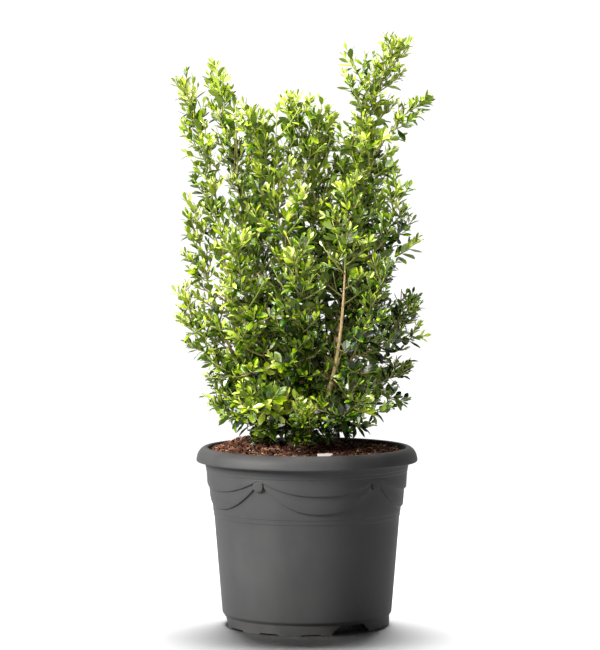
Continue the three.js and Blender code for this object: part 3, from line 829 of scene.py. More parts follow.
def mottle(tree, scale, detail, low, high, relief=FINE_RELIEF):
    """The Mottle group placed in a material with its own values: its mask and its normal."""
    values = {"Scale": scale, "Detail": detail, "Low": low, "High": high, "Relief": relief}
    node = add_node(tree, "ShaderNodeGroup", values, node_tree=mottle_group())
    return node.outputs["Mask"], node.outputs["Normal"]


def new_material(name, colour, roughness):
    """A material with one Principled shader in plain values. Returns it, its tree and the shader."""
    material = bpy.data.materials.new(name)
    material.use_nodes = True
    tree = material.node_tree
    shader = tree.nodes["Principled BSDF"]
    shader.inputs["Base Color"].default_value = linear(colour)
    shader.inputs["Roughness"].default_value = roughness
    material.diffuse_color = linear(colour)
    return material, tree, shader


def plain_materials(table, gloss=0.5):
    """One plain material for each row of name, colour and roughness."""
    found = []
    for row in table:
        material, _, shader = new_material(*row)
        shader.inputs["Specular IOR Level"].default_value = gloss
        found.append(material)
    return found


def mixed(tree, mask, low, high):
    """A colour between two, by a mask. Each colour is sRGB or a socket."""
    ends = [end if isinstance(end, bpy.types.NodeSocket) else linear(end) for end in (low, high)]
    sockets = {0: mask, 6: ends[0], 7: ends[1]}
    return add_node(tree, "ShaderNodeMix", sockets, data_type="RGBA").outputs[2]


def levels(tree, value, low, high, out_low, out_high):
    """A value between two levels mapped to two others, and clamped."""
    node = add_node(
        tree,
        "ShaderNodeMapRange",
        {"Value": value, "From Min": low, "From Max": high, "To Min": out_low, "To Max": out_high},
        clamp=True,
    )
    return node.outputs["Result"]


def height_socket(tree):
    """The height of a point above the ground, in metres."""
    place = add_node(tree, "ShaderNodeTexCoord")
    return add_node(tree, "ShaderNodeSeparateXYZ", {"Vector": place.outputs["Object"]}).outputs["Z"]


def shaded(colour, share):
    """A colour darkened or lightened by a share."""
    return tuple(share * c for c in colour)


def soiled(colour, dirt, share):
    """A colour with a share of it covered in dirt: (1 - s) c + s d."""
    return tuple((1 - share) * c + share * d for c, d in zip(colour, dirt))


def finish_shader(tree, shader, skin, rough, normal=None):
    """Links the colour, the roughness and, where there is one, the normal to the shader."""
    tree.links.new(skin, shader.inputs["Base Color"])
    tree.links.new(rough, shader.inputs["Roughness"])
    if normal is not None:
        tree.links.new(normal, shader.inputs["Normal"])


def plastic_material(colour):
    """Moulded matt plastic: clouded grey, fine grain, and a little dust on the rim and the foot."""
    material, tree, shader = new_material("pot plastic", colour, POT_ROUGHNESS)
    shader.inputs["Specular IOR Level"].default_value = POT_GLOSS
    clouds, _ = mottle(tree, **POT_CLOUDS)
    grain, grain_normal = mottle(tree, **POT_GRAIN)
    scuffs, _ = mottle(tree, **POT_SCUFFS)
    darker = shaded(colour, POT_DARK)
    lighter = shaded(colour, POT_LIGHT)
    skin = mixed(tree, clouds, darker, lighter)
    skin = mixed(tree, levels(tree, grain, 0, 1, 0.0, GRAIN_SHARE), skin, darker)
    height = height_socket(tree)
    foot = levels(tree, height, 0.0, DUSTY_FOOT_Z, DUSTY_FOOT_SHARE, 0.0)
    rim = levels(tree, height, *DUSTY_RIM_Z, 0.0, DUSTY_RIM_SHARE)
    dust = add_node(tree, "ShaderNodeMath", {0: foot, 1: rim}, operation="ADD").outputs[0]
    worn = add_node(tree, "ShaderNodeMath", {0: dust, 1: clouds}, operation="MULTIPLY").outputs[0]
    skin = mixed(tree, worn, skin, soiled(colour, DUST_COLOUR, DUST_COVER))
    skin = mixed(tree, levels(tree, scuffs, 0, 1, 0.0, SCUFF_SHARE), skin, lighter)
    rough = levels(tree, clouds, 0, 1, *CLOUD_ROUGHNESS)
    finish_shader(tree, shader, skin, rough, grain_normal)
    return material


def bark_material(young, old):
    """Pale corky bark: long streaks between two tans, darker cracks, green patches, and a darker
    brown towards the foot."""
    material, tree, shader = new_material("bark", young, BARK_ROUGHNESS)
    streaks, _ = mottle(tree, **BARK_STREAKS)
    cracks, cracks_normal = mottle(tree, **BARK_CRACKS)
    patches, _ = mottle(tree, **BARK_PATCHES)
    skin = mixed(tree, streaks, old, young)
    skin = mixed(tree, levels(tree, cracks, 0, 1, CRACK_SHARE, 0.0), skin, CRACK_COLOUR)
    skin = mixed(tree, levels(tree, patches, 0, 1, 0.0, ALGAE_SHARE), skin, ALGAE_COLOUR)
    # Darker brown towards the foot of the stems
    foot = levels(tree, height_socket(tree), *FOOT_BARK_Z, FOOT_BARK_SHARE, 0.0)
    skin = mixed(tree, foot, skin, FOOT_BARK_COLOUR)
    rough = levels(tree, streaks, 0, 1, *STREAK_ROUGHNESS)
    finish_shader(tree, shader, skin, rough, cracks_normal)
    return material


def soil_material(colour):
    """The fine stuff between the chips: dark crumbs in two browns, its darkness partly painted shade
    in the gaps between the chips.
    """
    material, tree, shader = new_material("mulch bed", colour, SOIL_ROUGHNESS)
    crumbs, crumbs_normal = mottle(tree, **SOIL_CRUMBS)
    patches, _ = mottle(tree, **SOIL_PATCHES)
    darker = shaded(colour, SOIL_DARK)
    skin = mixed(tree, crumbs, darker, colour)
    skin = mixed(tree, levels(tree, patches, 0, 1, 0.0, SOIL_PATCH_SHARE), skin, darker)
    rough = levels(tree, crumbs, 0, 1, *CRUMB_ROUGHNESS)
    finish_shader(tree, shader, skin, rough, crumbs_normal)
    return material


def label_material(colour):
    """Blank white plastic with a few smears of earth."""
    material, tree, shader = new_material("label plastic", colour, LABEL_ROUGHNESS)
    smears, _ = mottle(tree, **LABEL_SMEARS)
    dirty = soiled(colour, EARTH_COLOUR, EARTH_COVER)
    skin = mixed(tree, levels(tree, smears, 0, 1, 0.0, SMEAR_SHARE), colour, dirty)
    finish_shader(tree, shader, skin, levels(tree, smears, 0, 1, *SMEAR_ROUGHNESS))
    return material


# Pot


def wall_radius(z):
    """The radius of the pot's plain wall at a height."""
    return WALL_FOOT_R + WALL_SLOPE * (z - WALL_FOOT_Z)


def sag_share(azimuth):
    """How far a swag hangs at an azimuth: 1 - |2u-1|^2.3, 0 at a knob and 1 midway between two."""
    u = ((azimuth - SWAG_AZIMUTH + SWAG_TURN / 2) % SWAG_TURN) / SWAG_TURN
    return 1 - np.abs(2 * u - 1) ** SWAG_FULLNESS


def notch_height(azimuth):
    """Height of the openings at the foot: trapezoids on the ground, by the arc length from the
    middle of the nearest one."""
    pitch = 2 * math.pi / NOTCH_COUNT
    turn = (azimuth - NOTCH_AZIMUTH) / pitch
    nearest = np.round(turn)
    arc = np.abs(turn - nearest) * pitch * SKIRT_R
    large = nearest.astype(int) % LARGE_NOTCH_EVERY == 0
    found = np.zeros_like(azimuth)
    for chosen, shape in ((large, LARGE_NOTCH), (~large, SMALL_NOTCH)):
        slope = (shape["half_foot"] - arc) / (shape["half_foot"] - shape["half_top"])
        found += np.where(chosen, np.clip(slope, 0, 1) * shape["height"], 0)
    return found


def pot_rows(azimuth):
    """The pot's section at each azimuth, from under its middle, out round the rim, to its floor.
    Each ring, swag and ledge stands a step further off the wall than what is below it, but the
    ledges start a ring's step behind the upper swag."""
    flat = np.zeros_like(azimuth)
    foot = notch_height(azimuth)
    share = sag_share(azimuth)

    def ring(r, z, rounding):
        """One corner of the section, at every azimuth."""
        return (flat + r, flat + z, rounding)

    def wall(z, relief, rounding):
        """One corner of the section that stands off the plain wall by its relief."""
        return ring(wall_radius(z) + relief, z, rounding)

    rows = [
        ring(0, 0, 0),
        ring(FOOT_DISC_R, 0, SOFT_EDGE),
        ring(CHANNEL_INNER_R, CHANNEL_Z, CHANNEL_EDGE),
        ring(SKIRT_INNER_R, CHANNEL_Z, SKIRT_EDGE),
        ring(SKIRT_INNER_R, foot, NOTCH_EDGE),
        ring(SKIRT_R, foot, SKIRT_EDGE),
        ring(SKIRT_R, SKIRT_HEIGHT, FIRM_EDGE),
        wall(WALL_FOOT_Z, 0, SOFT_EDGE),
    ]
    relief = 0
    for z in RING_HEIGHTS:
        rows.append(wall(z - RING_HALF, relief, FINE_EDGE))
        relief += RING_STEP
        rows.append(wall(z + RING_HALF, relief, FINE_EDGE))
    for swag in (LOWER_SWAG, UPPER_SWAG):
        z = swag["z"] - swag["sag"] * share
        rows.append(wall(z - SWAG_EDGE, relief, FINE_EDGE))
        relief += swag["relief"]
        rows.append(wall(z + SWAG_EDGE, relief, SWAG_ROUNDING))
    relief -= RING_STEP
    for z, step in LEDGES:
        rows.append(wall(z - SWAG_EDGE, relief, LEDGE_FOOT_EDGE))
        relief += step
        rows.append(wall(z + SWAG_EDGE, relief, LEDGE_TOP_EDGE))
    rows.append(wall(RIM_BOTTOM_Z, relief, FIRM_EDGE))
    rows += [ring(RIM_R - step, z, rounding) for step, z, rounding in RIM_ROLL]
    rows += [
        ring(RIM_MOUTH_R, POT_HEIGHT - RIM_MOUTH_DROP, MOUTH_EDGE),
        ring(RIM_MOUTH_R - RIM_MOUTH_TAPER, RIM_BOTTOM_Z, SOFT_EDGE),
        wall(LOWER_SWAG["z"], -WALL_THICKNESS, SOFT_EDGE),
        wall(CHANNEL_FLOOR_Z + CHANNEL_INSET, -WALL_THICKNESS, FIRM_EDGE),
        ring(SKIRT_INNER_R, CHANNEL_FLOOR_Z, FIRM_EDGE),
        ring(CHANNEL_INNER_R - CHANNEL_INSET, CHANNEL_FLOOR_Z, SOFT_EDGE),
        ring(FOOT_DISC_R - CHANNEL_INSET, FLOOR_Z, SOFT_EDGE),
        ring(0, FLOOR_Z, 0),
    ]
    return rows


def knob_skin(azimuth):
    """A tab on the wall between two swags: a straight top and sides and a foot with round corners,
    a flat plate with soft edges, carried to the wall at its azimuth."""
    turn = np.linspace(0, np.pi / 2, KNOB_CORNER_POINTS)
    straight = KNOB_LENGTH - KNOB_CORNER
    inset = KNOB_HALF_WIDTH - KNOB_CORNER
    left = np.stack([-np.cos(turn) * KNOB_CORNER - inset, -np.sin(turn) * KNOB_CORNER], -1)
    foot = np.concatenate([left, (left * (-1, 1))[::-1]])
    side = np.linspace(0, straight, KNOB_SIDE_POINTS)[1:]
    top = np.linspace(1, -1, KNOB_TOP_POINTS)[1:-1] * KNOB_HALF_WIDTH
    outline = np.concatenate([
        foot,
        np.stack([np.full_like(side, KNOB_HALF_WIDTH), side], -1),
        np.stack([top, np.full_like(top, straight)], -1),
        np.stack([np.full_like(side, -KNOB_HALF_WIDTH), side], -1)[::-1],
    ])
    rise = [(share, lift * KNOB_RELIEF) for share, lift in KNOB_RISE]
    points, quads, caps = domed_plate(outline, [(1.0, -KNOB_SUNK), *rise])
    base_z = KNOB_TOP_Z - straight
    z = base_z + points[:, 1]
    turn = azimuth + points[:, 0] / wall_radius(base_z)
    r = wall_radius(z) + points[:, 2]
    points = turned(r, z, turn)
    return points, *outward(points, quads, caps)


def cut_drains(piece):
    """Six round drains through the channel over the foot, by one Boolean that is applied."""
    turn = full_turn(DRAIN_SIDES)
    circle = DRAIN_R * np.stack([np.cos(turn), np.sin(turn), np.zeros(DRAIN_SIDES)], -1)
    skins = []
    for azimuth in full_turn(DRAIN_COUNT):
        low = turned(DRAIN_RING_R, CHANNEL_Z - DRAIN_MARGIN, azimuth)
        high = turned(DRAIN_RING_R, CHANNEL_FLOOR_Z + DRAIN_MARGIN, azimuth)
        skins.append(closed_skin(low, np.stack([low + circle, high + circle]), high))
    cutter = new_piece("drains", joined(skins), [])
    cut = piece.modifiers.new("drains", "BOOLEAN")
    cut.operation = "DIFFERENCE"
    cut.solver = "MANIFOLD"
    cut.object = cutter
    apply_modifiers(piece)
    bpy.data.objects.remove(cutter)


def apply_modifiers(piece):
    """The piece's mesh becomes the one its modifiers give."""
    graph = bpy.context.evaluated_depsgraph_get()
    made = bpy.data.meshes.new_from_object(piece.evaluated_get(graph))
    piece.modifiers.clear()
    piece.data = made


def sharpen(piece, degrees):
    """Edges steeper than the angle are drawn sharp."""
    piece.data.set_sharp_from_angle(angle=math.radians(degrees))


def build_pot(columns, colour):
    """The pot's shell with its drains, and a knob between each two swags."""
    azimuth = full_turn(columns)
    section = rounded_rows(pot_rows(azimuth))
    rows = turned(section[..., 0], section[..., 1], azimuth)
    skin = closed_skin(rows[0, 0], rows[1:-1], rows[-1, 0])
    piece = new_piece("pot_shell", skin, [plastic_material(colour)])
    cut_drains(piece)
    sharpen(piece, POT_SHARP)
    dress(piece, "pot", "pot")
    material = piece.data.materials[0]
    for i in range(SWAG_COUNT):
        skin = knob_skin(SWAG_AZIMUTH + KNOB_TURN + SWAG_TURN * (i + 0.5))
        knob = new_piece(f"pot_knob_{i + 1}", skin, [material])
        sharpen(knob, POT_SHARP)
        dress(knob, "pot")


# Mulch


def soil_z(r, azimuth):
    """Height of the mulch: a low dome, flat under the root crown, with a heap to its left."""
    fall = np.maximum(0, r - SOIL_FLAT_R) / (RIM_MOUTH_R - SOIL_FLAT_R)
    off = np.hypot(r * np.sin(azimuth) - HEAP["x"], -r * np.cos(azimuth) - HEAP["y"])
    heap = np.where(r > SOIL_FLAT_R, HEAP["height"] * np.exp(-0.5 * (off / HEAP["spread"]) ** 2), 0)
    return SOIL_EDGE_Z + SOIL_DOME * (1 - fall) + heap


def ripple(x, y, length, seed):
    """Twelve waves sin(2 pi (x cos a + y sin a) / l + p) of about one length l in seeded
    directions a, added up: from -1 to 1 or so."""
    rng = np.random.default_rng(seed)
    total = 0.0
    for _ in range(RIPPLE_WAVES):
        turn = rng.uniform(0, 2 * np.pi)
        phase = rng.uniform(0, 2 * np.pi)
        wave = 2 * np.pi / (length * rng.uniform(*RIPPLE_SIZES))
        total = total + np.sin(wave * (x * math.cos(turn) + y * math.sin(turn)) + phase)
    return total / RIPPLE_PEAK


def build_mulch(colour):
    """The bed of mulch: its top by soil_z with ripples, its sides along the pot's inner skin."""
    azimuth = full_turn(MULCH_COLUMNS)
    flat = np.zeros_like(azimuth)
    floor = FLOOR_Z + SEAT_GAP
    channel_floor = CHANNEL_FLOOR_Z + SEAT_GAP
    inset = WALL_THICKNESS + SEAT_GAP
    inner = [
        (FOOT_DISC_R - MULCH_FOOT_INSET, floor),
        (CHANNEL_INNER_R - MULCH_FOOT_INSET, channel_floor),
        (wall_radius(CHANNEL_FLOOR_Z) - inset - MULCH_CHANNEL_INSET, channel_floor),
    ]
    inner += [(wall_radius(z) - inset, z) for z in MULCH_SIDE_Z]
    inner.append((MULCH_EDGE_R - MULCH_RIM_INSET, RIM_BOTTOM_Z - MULCH_RIM_DROP))
    rows = [turned(r, flat + z, azimuth) for r, z in inner]
    for r in np.linspace(MULCH_EDGE_R, MULCH_HEART_R, MULCH_RINGS):
        x, y = r * np.sin(azimuth), -r * np.cos(azimuth)
        waves = sum(share * ripple(x, y, length, seed) for length, seed, share in CLOD_WAVES)
        clods = CLODS * waves * min(1.0, r / SOIL_FLAT_R)
        rows.append(turned(r, soil_z(r, azimuth) + clods, azimuth))
    skin = closed_skin((0, 0, floor), np.stack(rows), (0, 0, SOIL_EDGE_Z + SOIL_DOME))
    bed = new_piece("mulch_bed", skin, [soil_material(colour)])
    dress(bed, "substrate", "substrate")


def turns_of(rng, count, tilt):
    """Seeded rotations: a tilt about a level axis, after a turn about the vertical."""
    yaw = rng.uniform(0, 2 * np.pi, count)
    axis = rng.uniform(0, 2 * np.pi, count)
    lean = rng.normal(0, tilt, count)
    c, s = np.cos(yaw), np.sin(yaw)
    flat, up = np.zeros(count), np.ones(count)
    spin = np.stack([c, -s, flat, s, c, flat, flat, flat, up], -1).reshape(-1, 3, 3)
    k = np.stack([np.cos(axis), np.sin(axis), flat], -1)
    cross = np.zeros((count, 3, 3))
    cross[:, 0, 2], cross[:, 1, 2] = k[:, 1], -k[:, 0]
    cross[:, 2, 0], cross[:, 2, 1] = -k[:, 1], k[:, 0]
    tip = np.eye(3) + np.sin(lean)[:, None, None] * cross
    tip = tip + (1 - np.cos(lean))[:, None, None] * (cross @ cross)
    return tip @ spin


def build_chips(count, length):
    """Bark chips: flat six-cornered splinters with uneven corners, thrown over the mulch."""
    rng = np.random.default_rng(SEED)
    corners = CHIP_CORNERS
    turn = full_turn(corners)
    ring = np.stack([np.cos(turn), np.sin(turn) * CHIP_OVAL], -1)
    uneven = ring * rng.uniform(*CHIP_UNEVEN, (count, corners, 1))
    long = length * np.exp(rng.normal(*CHIP_SPREAD, count))
    wide = long * rng.uniform(*CHIP_WIDTHS, count)
    thick = np.clip(long * rng.uniform(*CHIP_THINNESS, count), *CHIP_THICKNESS)
    layers = []
    for side in (-1, 1):
        flat = uneven * rng.uniform(*CHIP_FACES, (count, corners, 1))
        lift = side * thick[:, None] / 2 + rng.normal(0, CHIP_WARP, (count, corners)) * thick[:, None]
        layers.append(np.stack([
            flat[..., 0] * long[:, None] / 2,
            flat[..., 1] * wide[:, None] / 2,
            lift,
        ], -1))
    points = np.concatenate(layers, axis=1) @ turns_of(rng, count, CHIP_TILT).transpose(0, 2, 1)
    r = np.sqrt(rng.uniform(CHIP_HEART_SHARE, 1, count)) * CHIP_EDGE_R
    r = np.minimum(r, CHIP_EDGE_R - long / 2)
    azimuth = rng.uniform(0, 2 * np.pi, count)
    z = soil_z(r, azimuth) + rng.uniform(*CHIP_HEIGHTS, count) + CHIP_LIFT * long
    points = points + turned(r, z, azimuth)[:, None]
    here = np.arange(corners)
    after = (here + 1) % corners
    sides = np.stack([here, after, after + corners, here + corners], -1)
    ends = np.stack([here + corners, here[::-1]])
    faces = [repeated(part, count, 2 * corners) for part in (sides, ends)]
    kind = rng.choice(len(CHIP_SHARES), count, p=CHIP_SHARES)
    slots = np.concatenate([np.repeat(kind, corners), np.repeat(kind, 2)])
    materials = plain_materials(CHIP_COLOURS)
    chips = new_piece("mulch_chips", (points, *faces), materials, slots, smooth=False)
    dress(chips, "substrate")


def build_fibres(count):
    """Torn bark fibres among the chips: thin bent splinters, c + (t - 1/2) L d with an arch of
    b (1 - (2t-1)^2), which lie on the mulch at their ends."""
    rng = np.random.default_rng(FIBRE_SEED)
    length = rng.uniform(*FIBRE_LENGTH, count)
    yaw = rng.uniform(0, 2 * np.pi, count)
    slope = rng.normal(0, FIBRE_SLOPE, count)
    way = np.stack([np.cos(yaw), np.sin(yaw), slope], -1)
    beside = np.stack([-np.sin(yaw), np.cos(yaw), np.zeros(count)], -1)
    t = np.linspace(0, 1, FIBRE_RINGS)
    arch = 1 - (2 * t - 1) ** 2
    r = np.sqrt(rng.uniform(FIBRE_HEART_SHARE, 1, count)) * (FIBRE_EDGE_R - length * 0.5)
    azimuth = rng.uniform(0, 2 * np.pi, count)
    lift = rng.uniform(*FIBRE_HEIGHTS, count)
    middle = turned(r, soil_z(r, azimuth) + lift, azimuth)
    paths = middle[:, None] + (t - 0.5)[:, None] * (way * length[:, None])[:, None]
    upward = rng.uniform(*FIBRE_ARCH, count) * length
    sideways = rng.normal(0, FIBRE_BEND, count) * length
    paths = paths + upward[:, None, None] * arch[:, None] * (0, 0, 1.0)
    paths = paths + sideways[:, None, None] * arch[:, None] * beside[:, None]
    radii = rng.uniform(*FIBRE_R, count)[:, None] * (1 - 0.5 * np.abs(2 * t - 1) ** 3)
    skin = tubes(paths, radii, 4, NEARLY_UP)
    kind = rng.choice(len(FIBRE_SHARES), count, p=FIBRE_SHARES)
    slots = np.concatenate([np.repeat(kind, len(part) // count) for part in skin[1:]])
    fibres = new_piece("mulch_fibres", skin, plain_materials(CHIP_COLOURS), slots, smooth=False)
    dress(fibres, "substrate")


# Label


def build_label(colour):
    """A blank plate with round corners, a little bowed, that stands where the frame's label does."""
    low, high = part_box("label")
    middle = (low + high) / 2
    azimuth = math.atan2(middle.x, -middle.y)
    turn = np.linspace(0, np.pi / 2, LABEL_CORNER_POINTS)
    quarter = np.stack([np.cos(turn), np.sin(turn)], -1) * LABEL_CORNER
    reach = np.array((LABEL_HALF_WIDTH, LABEL_HALF_DEPTH)) - LABEL_CORNER
    parts = []
    for i, signs in enumerate(((1, 1), (-1, 1), (-1, -1), (1, -1))):
        c, s = math.cos(i * math.pi / 2), math.sin(i * math.pi / 2)
        spin = np.array(((c, -s), (s, c)))
        parts.append(quarter @ spin.T + reach * signs)
    outline = np.concatenate(parts)
    half = LABEL_THICKNESS / 2
    points, quads, caps = domed_plate(outline, [(share, lift * half) for share, lift in LABEL_RISE])
    bow = LABEL_BOW * (1 - (points[:, 0] / LABEL_HALF_WIDTH) ** 2)
    x, y, z = points[:, 0], points[:, 1] - LABEL_SUNK, points[:, 2] + bow
    c, s = math.cos(LABEL_TILT), math.sin(LABEL_TILT)
    y, z = y * c - z * s, y * s + z * c
    c, s = math.cos(azimuth), math.sin(azimuth)
    placed = np.stack([x * c - y * s + middle.x, x * s + y * c + middle.y, z + middle.z], -1)
    piece = new_piece("label_plate", (placed, quads, caps), [label_material(colour)])
    sharpen(piece, LABEL_SHARP)
    dress(piece, "label", "label")


# Growth


def shoot_share(along):
    """Side shoots grow shorter towards the tip of their stem: 1 - 0.4 a^1.6."""
    return 1 - SHOOT_TAPER * np.asarray(along) ** SHOOT_TAPER_POWER


def bends_between(start, tip, shares):
    """Control points at shares of the way from a start to a tip, on each axis."""
    return [start + (tip - start) * share for share in shares]


def growth_plan():
    """Every stem, branch and spray of the frame with its curve and the samples of its space."""
    rows = []
    by_name = {}
    for index, source in enumerate(STEMS + BRANCHES + SPRAYS):
        row = {"wood": 0.0, "r": SPRAY_STEM_R / (1 - WOOD_TAPER), **source, "index": index}
        parent = by_name.get(row.get("parent"))
        start = points_on(parent["curve"], [row["at"] * parent["wood"]])[0] if parent else CROWN_HEART
        tip = np.array(row["tip"])
        bends = row.get("bends") or bends_between(start, tip, RISING_BENDS)
        row["curve"] = np.stack([start, *map(np.array, bends), tip])
        row["length"] = curve_length(row["curve"])
        along = np.linspace(0, 1, CELL_SAMPLES)
        row["cells"] = points_on(row["curve"], row["wood"] + (1 - row["wood"]) * along)
        row["reaches"] = row["reach"] * shoot_share(along)
        rows.append(row)
        by_name[row["name"]] = row
    return rows


def shares_of_reach(points, cells, reaches):
    """The gap from each point to each sample of each stem, as a share of the reach there."""
    return np.linalg.norm(points[:, None, None] - cells[None], axis=-1) / reaches


def in_space(points, own_index, cells, reaches, limit=CELL_LIMIT):
    """Whether each point is in the space of a mass: nearest to its stem, measured in shares of
    the reach there, and above the pot."""
    shares = shares_of_reach(points, cells, reaches).min(axis=2)
    own = shares[:, own_index].copy()
    shares[:, own_index] = np.inf
    return (own < shares.min(axis=1)) & (own < limit) & (points[:, 2] > LOWEST_LEAF_Z)


def in_crown(points, cells, reaches):
    """Whether each point is well inside any mass, and above the pot."""
    inside = shares_of_reach(points, cells, reaches).min(axis=(1, 2)) < CROWN_LIMIT
    return inside & (points[:, 2] > LOWEST_LEAF_Z)


def rising(start, way, span):
    """Curves that leave along a way w and rise: their tip is (0.95 w + 0.2 up) x span."""
    up = np.array((0, 0, 1.0))
    bend = start + way * span[..., None] * SHOOT_BEND
    tip = start + (way * (1 - SHOOT_LEAN * SHOOT_RISE) + up * SHOOT_RISE) * span[..., None]
    corners = (start, start + (bend - start) * 2 / 3, tip + (bend - tip) * 2 / 3, tip)
    return np.stack(np.broadcast_arrays(*corners), -2)


def fitted(start, way, span, shortest, space):
    """The longest of each shoot's shortened curves whose tip is in its mass's space, and which
    of the shoots are long enough."""
    spans = span[:, None] * SHORTER
    curves = rising(start[:, None], way[:, None], spans)
    inside = space(curves[:, :, 3].reshape(-1, 3)).reshape(spans.shape)
    first = inside.argmax(axis=1)
    pick = np.arange(len(span))
    kept = inside.any(axis=1) & (spans[pick, first] > shortest)
    return curves[pick, first][kept], spans[pick, first][kept], kept


def shoots_round(curve, share, turn, angle):
    """Where shoots leave a stem and their ways: t cos b + (s cos a + (t x s) sin a) sin b, where t
    is the stem's way, s lies across it, a is the turn round it and b the angle off it."""
    stem = ways_on(curve, share)
    side = unit(np.cross(FIRST_SIDE, stem))
    side = side * np.cos(turn) + np.cross(stem, side) * np.sin(turn)
    return points_on(curve, share), stem * np.cos(angle) + side * np.sin(angle)


def side_shoots(row, space, step, rng):
    """Side shoots round a mass's stem: golden angle, leaning from 66 to 30 degrees off it."""
    count = max(3, round(row["length"] * (1 - row["wood"]) / step))
    place = np.arange(count)
    along = (place + 0.5) / count
    share = row["wood"] + (1 - row["wood"]) * along
    turn = place * GOLDEN_TURN + rng.uniform(0, 2 * np.pi) + rng.normal(0, TURN_SPREAD, count)
    angle = SHOOT_ANGLES[0] + (SHOOT_ANGLES[1] - SHOOT_ANGLES[0]) * along
    start, way = shoots_round(row["curve"], share, turn[:, None], angle[:, None])
    span = row["reach"] * shoot_share(along) * rng.uniform(*SHOOT_SPANS, count)
    span = span * (1 - TIP_SLIMMING * along**3)
    return fitted(start, way, span, SHORTEST_SHOOT, space)[:2]


def side_twigs(curves, spans, space, rng):
    """Twigs on side shoots, to either hand in turn, each shorter than what it grows from."""
    found = []
    for i, place in enumerate(TWIG_PLACES):
        share = place + rng.uniform(-PLACE_SPREAD, PLACE_SPREAD, (len(curves), 1))
        start = points_on(curves, share)[:, 0]
        stem = ways_on(curves, share)[:, 0]
        level = unit(np.cross(stem, (0, 0, 1.0)))
        hand = np.where(np.arange(len(curves)) % 2 == i % 2, 1.0, -1.0)[:, None]
        lift = rng.normal(*TWIG_LIFT, (len(curves), 1))
        side = unit(level * hand + np.cross(level, stem) * lift)
        angle = TWIG_ANGLE + rng.normal(0, TWIG_ANGLE_SPREAD, (len(curves), 1))
        way = stem * np.cos(angle) + side * np.sin(angle)
        share = TWIG_SHARE - TWIG_SHORTENING * place
        span = spans * share * rng.uniform(*TWIG_SPANS, len(curves))
        twigs, lengths, kept = fitted(start, way, span, SHORTEST_TWIG, space)
        found.append((twigs, lengths, np.flatnonzero(kept)))
    return [np.concatenate(parts) for parts in zip(*found)]


def limb_shoots(row, space, rng):
    """Short side shoots on the woody part of a stem, so that leaves stand down to the mulch."""
    count = round(row["length"] * row["wood"] / LIMB_SHOOT_STEP)
    share = row["wood"] * np.linspace(LIMB_SHOOT_START, 1.0, count)
    turn = (np.arange(count) * GOLDEN_TURN + rng.uniform(0, 2 * np.pi))[:, None]
    angle = rng.uniform(*SHOOT_ANGLES[::-1], (count, 1))
    start, way = shoots_round(row["curve"], share, turn, angle)
    span = rng.uniform(*LIMB_SHOOT, count)
    return fitted(start, way, span, SHORTEST_SHOOT, space)[:2]


def long_shoots(row):
    """The few long shoots that stand out of a mass, from a share of its stem to their tip."""
    curves = []
    for share, tip in row.get("long", ()):
        start = points_on(row["curve"], [share])[0]
        tip = np.array(tip)
        curves.append(np.stack([start, *bends_between(start, tip, LONG_BENDS), tip]))
    return np.stack(curves), np.array([curve_length(curve) for curve in curves])


def with_twigs(shoots, spans, space, rng):
    """Shoots and the twigs on them, each with its length and its vigour, as two groups."""
    twigs, lengths, parents = side_twigs(shoots, spans, space, rng)
    vigour = rng.normal(0, 1, len(shoots))
    shared = vigour[parents] * VIGOUR_SHARED + rng.normal(0, VIGOUR_SHARED, len(parents))
    return [(shoots, spans, vigour), (twigs, lengths, shared)]


def grow_mass(row, rows, step):
    """All the shoots of one mass in groups of curves, lengths and vigour, each group with the
    space that its leaves keep to: its stem, its side shoots and their twigs, then those of the
    woody part below."""
    cells = np.stack([other["cells"] for other in rows])
    reaches = np.stack([other["reaches"] for other in rows])
    rng = np.random.default_rng(SEED + row["index"])

    def own_space(points):
        return in_space(points, row["index"], cells, reaches)

    def crown_space(points):
        return in_crown(points, cells, reaches)

    def long_space(points):
        return in_space(points, row["index"], cells, reaches, LONG_LIMIT)

    shoots, spans = side_shoots(row, own_space, step * row.get("loose", 1.0), rng)
    groups = [(*group, own_space) for group in with_twigs(shoots, spans, own_space, rng)]
    if row.get("long"):
        shoots, spans = long_shoots(row)
        groups += [(*group, long_space) for group in with_twigs(shoots, spans, long_space, rng)]
    if row["wood"] and row["name"] != BARE_STEM:
        shoots, spans = limb_shoots(row, crown_space, rng)
        groups += [(*group, crown_space) for group in with_twigs(shoots, spans, crown_space, rng)]
    stem = (row["curve"][None], np.array([row["length"]]), np.zeros(1), own_space)
    return {"row": row, "rng": rng, "stem": stem, "groups": groups}


def light_at(points):
    """How much light a place gets: more towards the outside, the top and, low down, the left and
    the front, less close to the mulch, and more in the young sprays, in full up to their reach
    and fading to none at one and a half times it. Shares of each, weighted and added up. It
    sets the colour of leaves and twigs, so all but the young sprays is painted light and shade."""
    out = np.hypot(points[..., 0] - MIDDLE_X, points[..., 1]) / CROWN_HALF
    height = (points[..., 2] - CROWN_FOOT_Z) / CROWN_RISE
    left = -points[..., 0] / CROWN_HALF
    front = -points[..., 1] / CROWN_HALF
    low = 1 - height
    side = (LEFT_LIGHT + LOW_LEFT_LIGHT * low**2) * left
    side = side + LOW_FRONT_LIGHT * low**2 * front * (LOW_FRONT_MIDDLE + LOW_FRONT_LEFT * left)
    ground = GROUND_SHADE * np.clip((GROUND_SHADE_Z - points[..., 2]) / GROUND_SHADE_FADE, 0, 1)
    away = points[..., None, [0, 2]] - np.array(YOUNG_SPRAYS)
    near = YOUNG_FADE - np.linalg.norm(away, axis=-1).min(axis=-1) / YOUNG_REACH
    young = YOUNG_LIGHT * np.clip(2 * near, 0, 1) * (points[..., 1] < YOUNG_FRONT)
    light = OUTER_LIGHT * out + HIGH_LIGHT * height + TOP_LIGHT * height**3 * (1 - out)
    light = light + side - ground + BASE_LIGHT
    return light + young


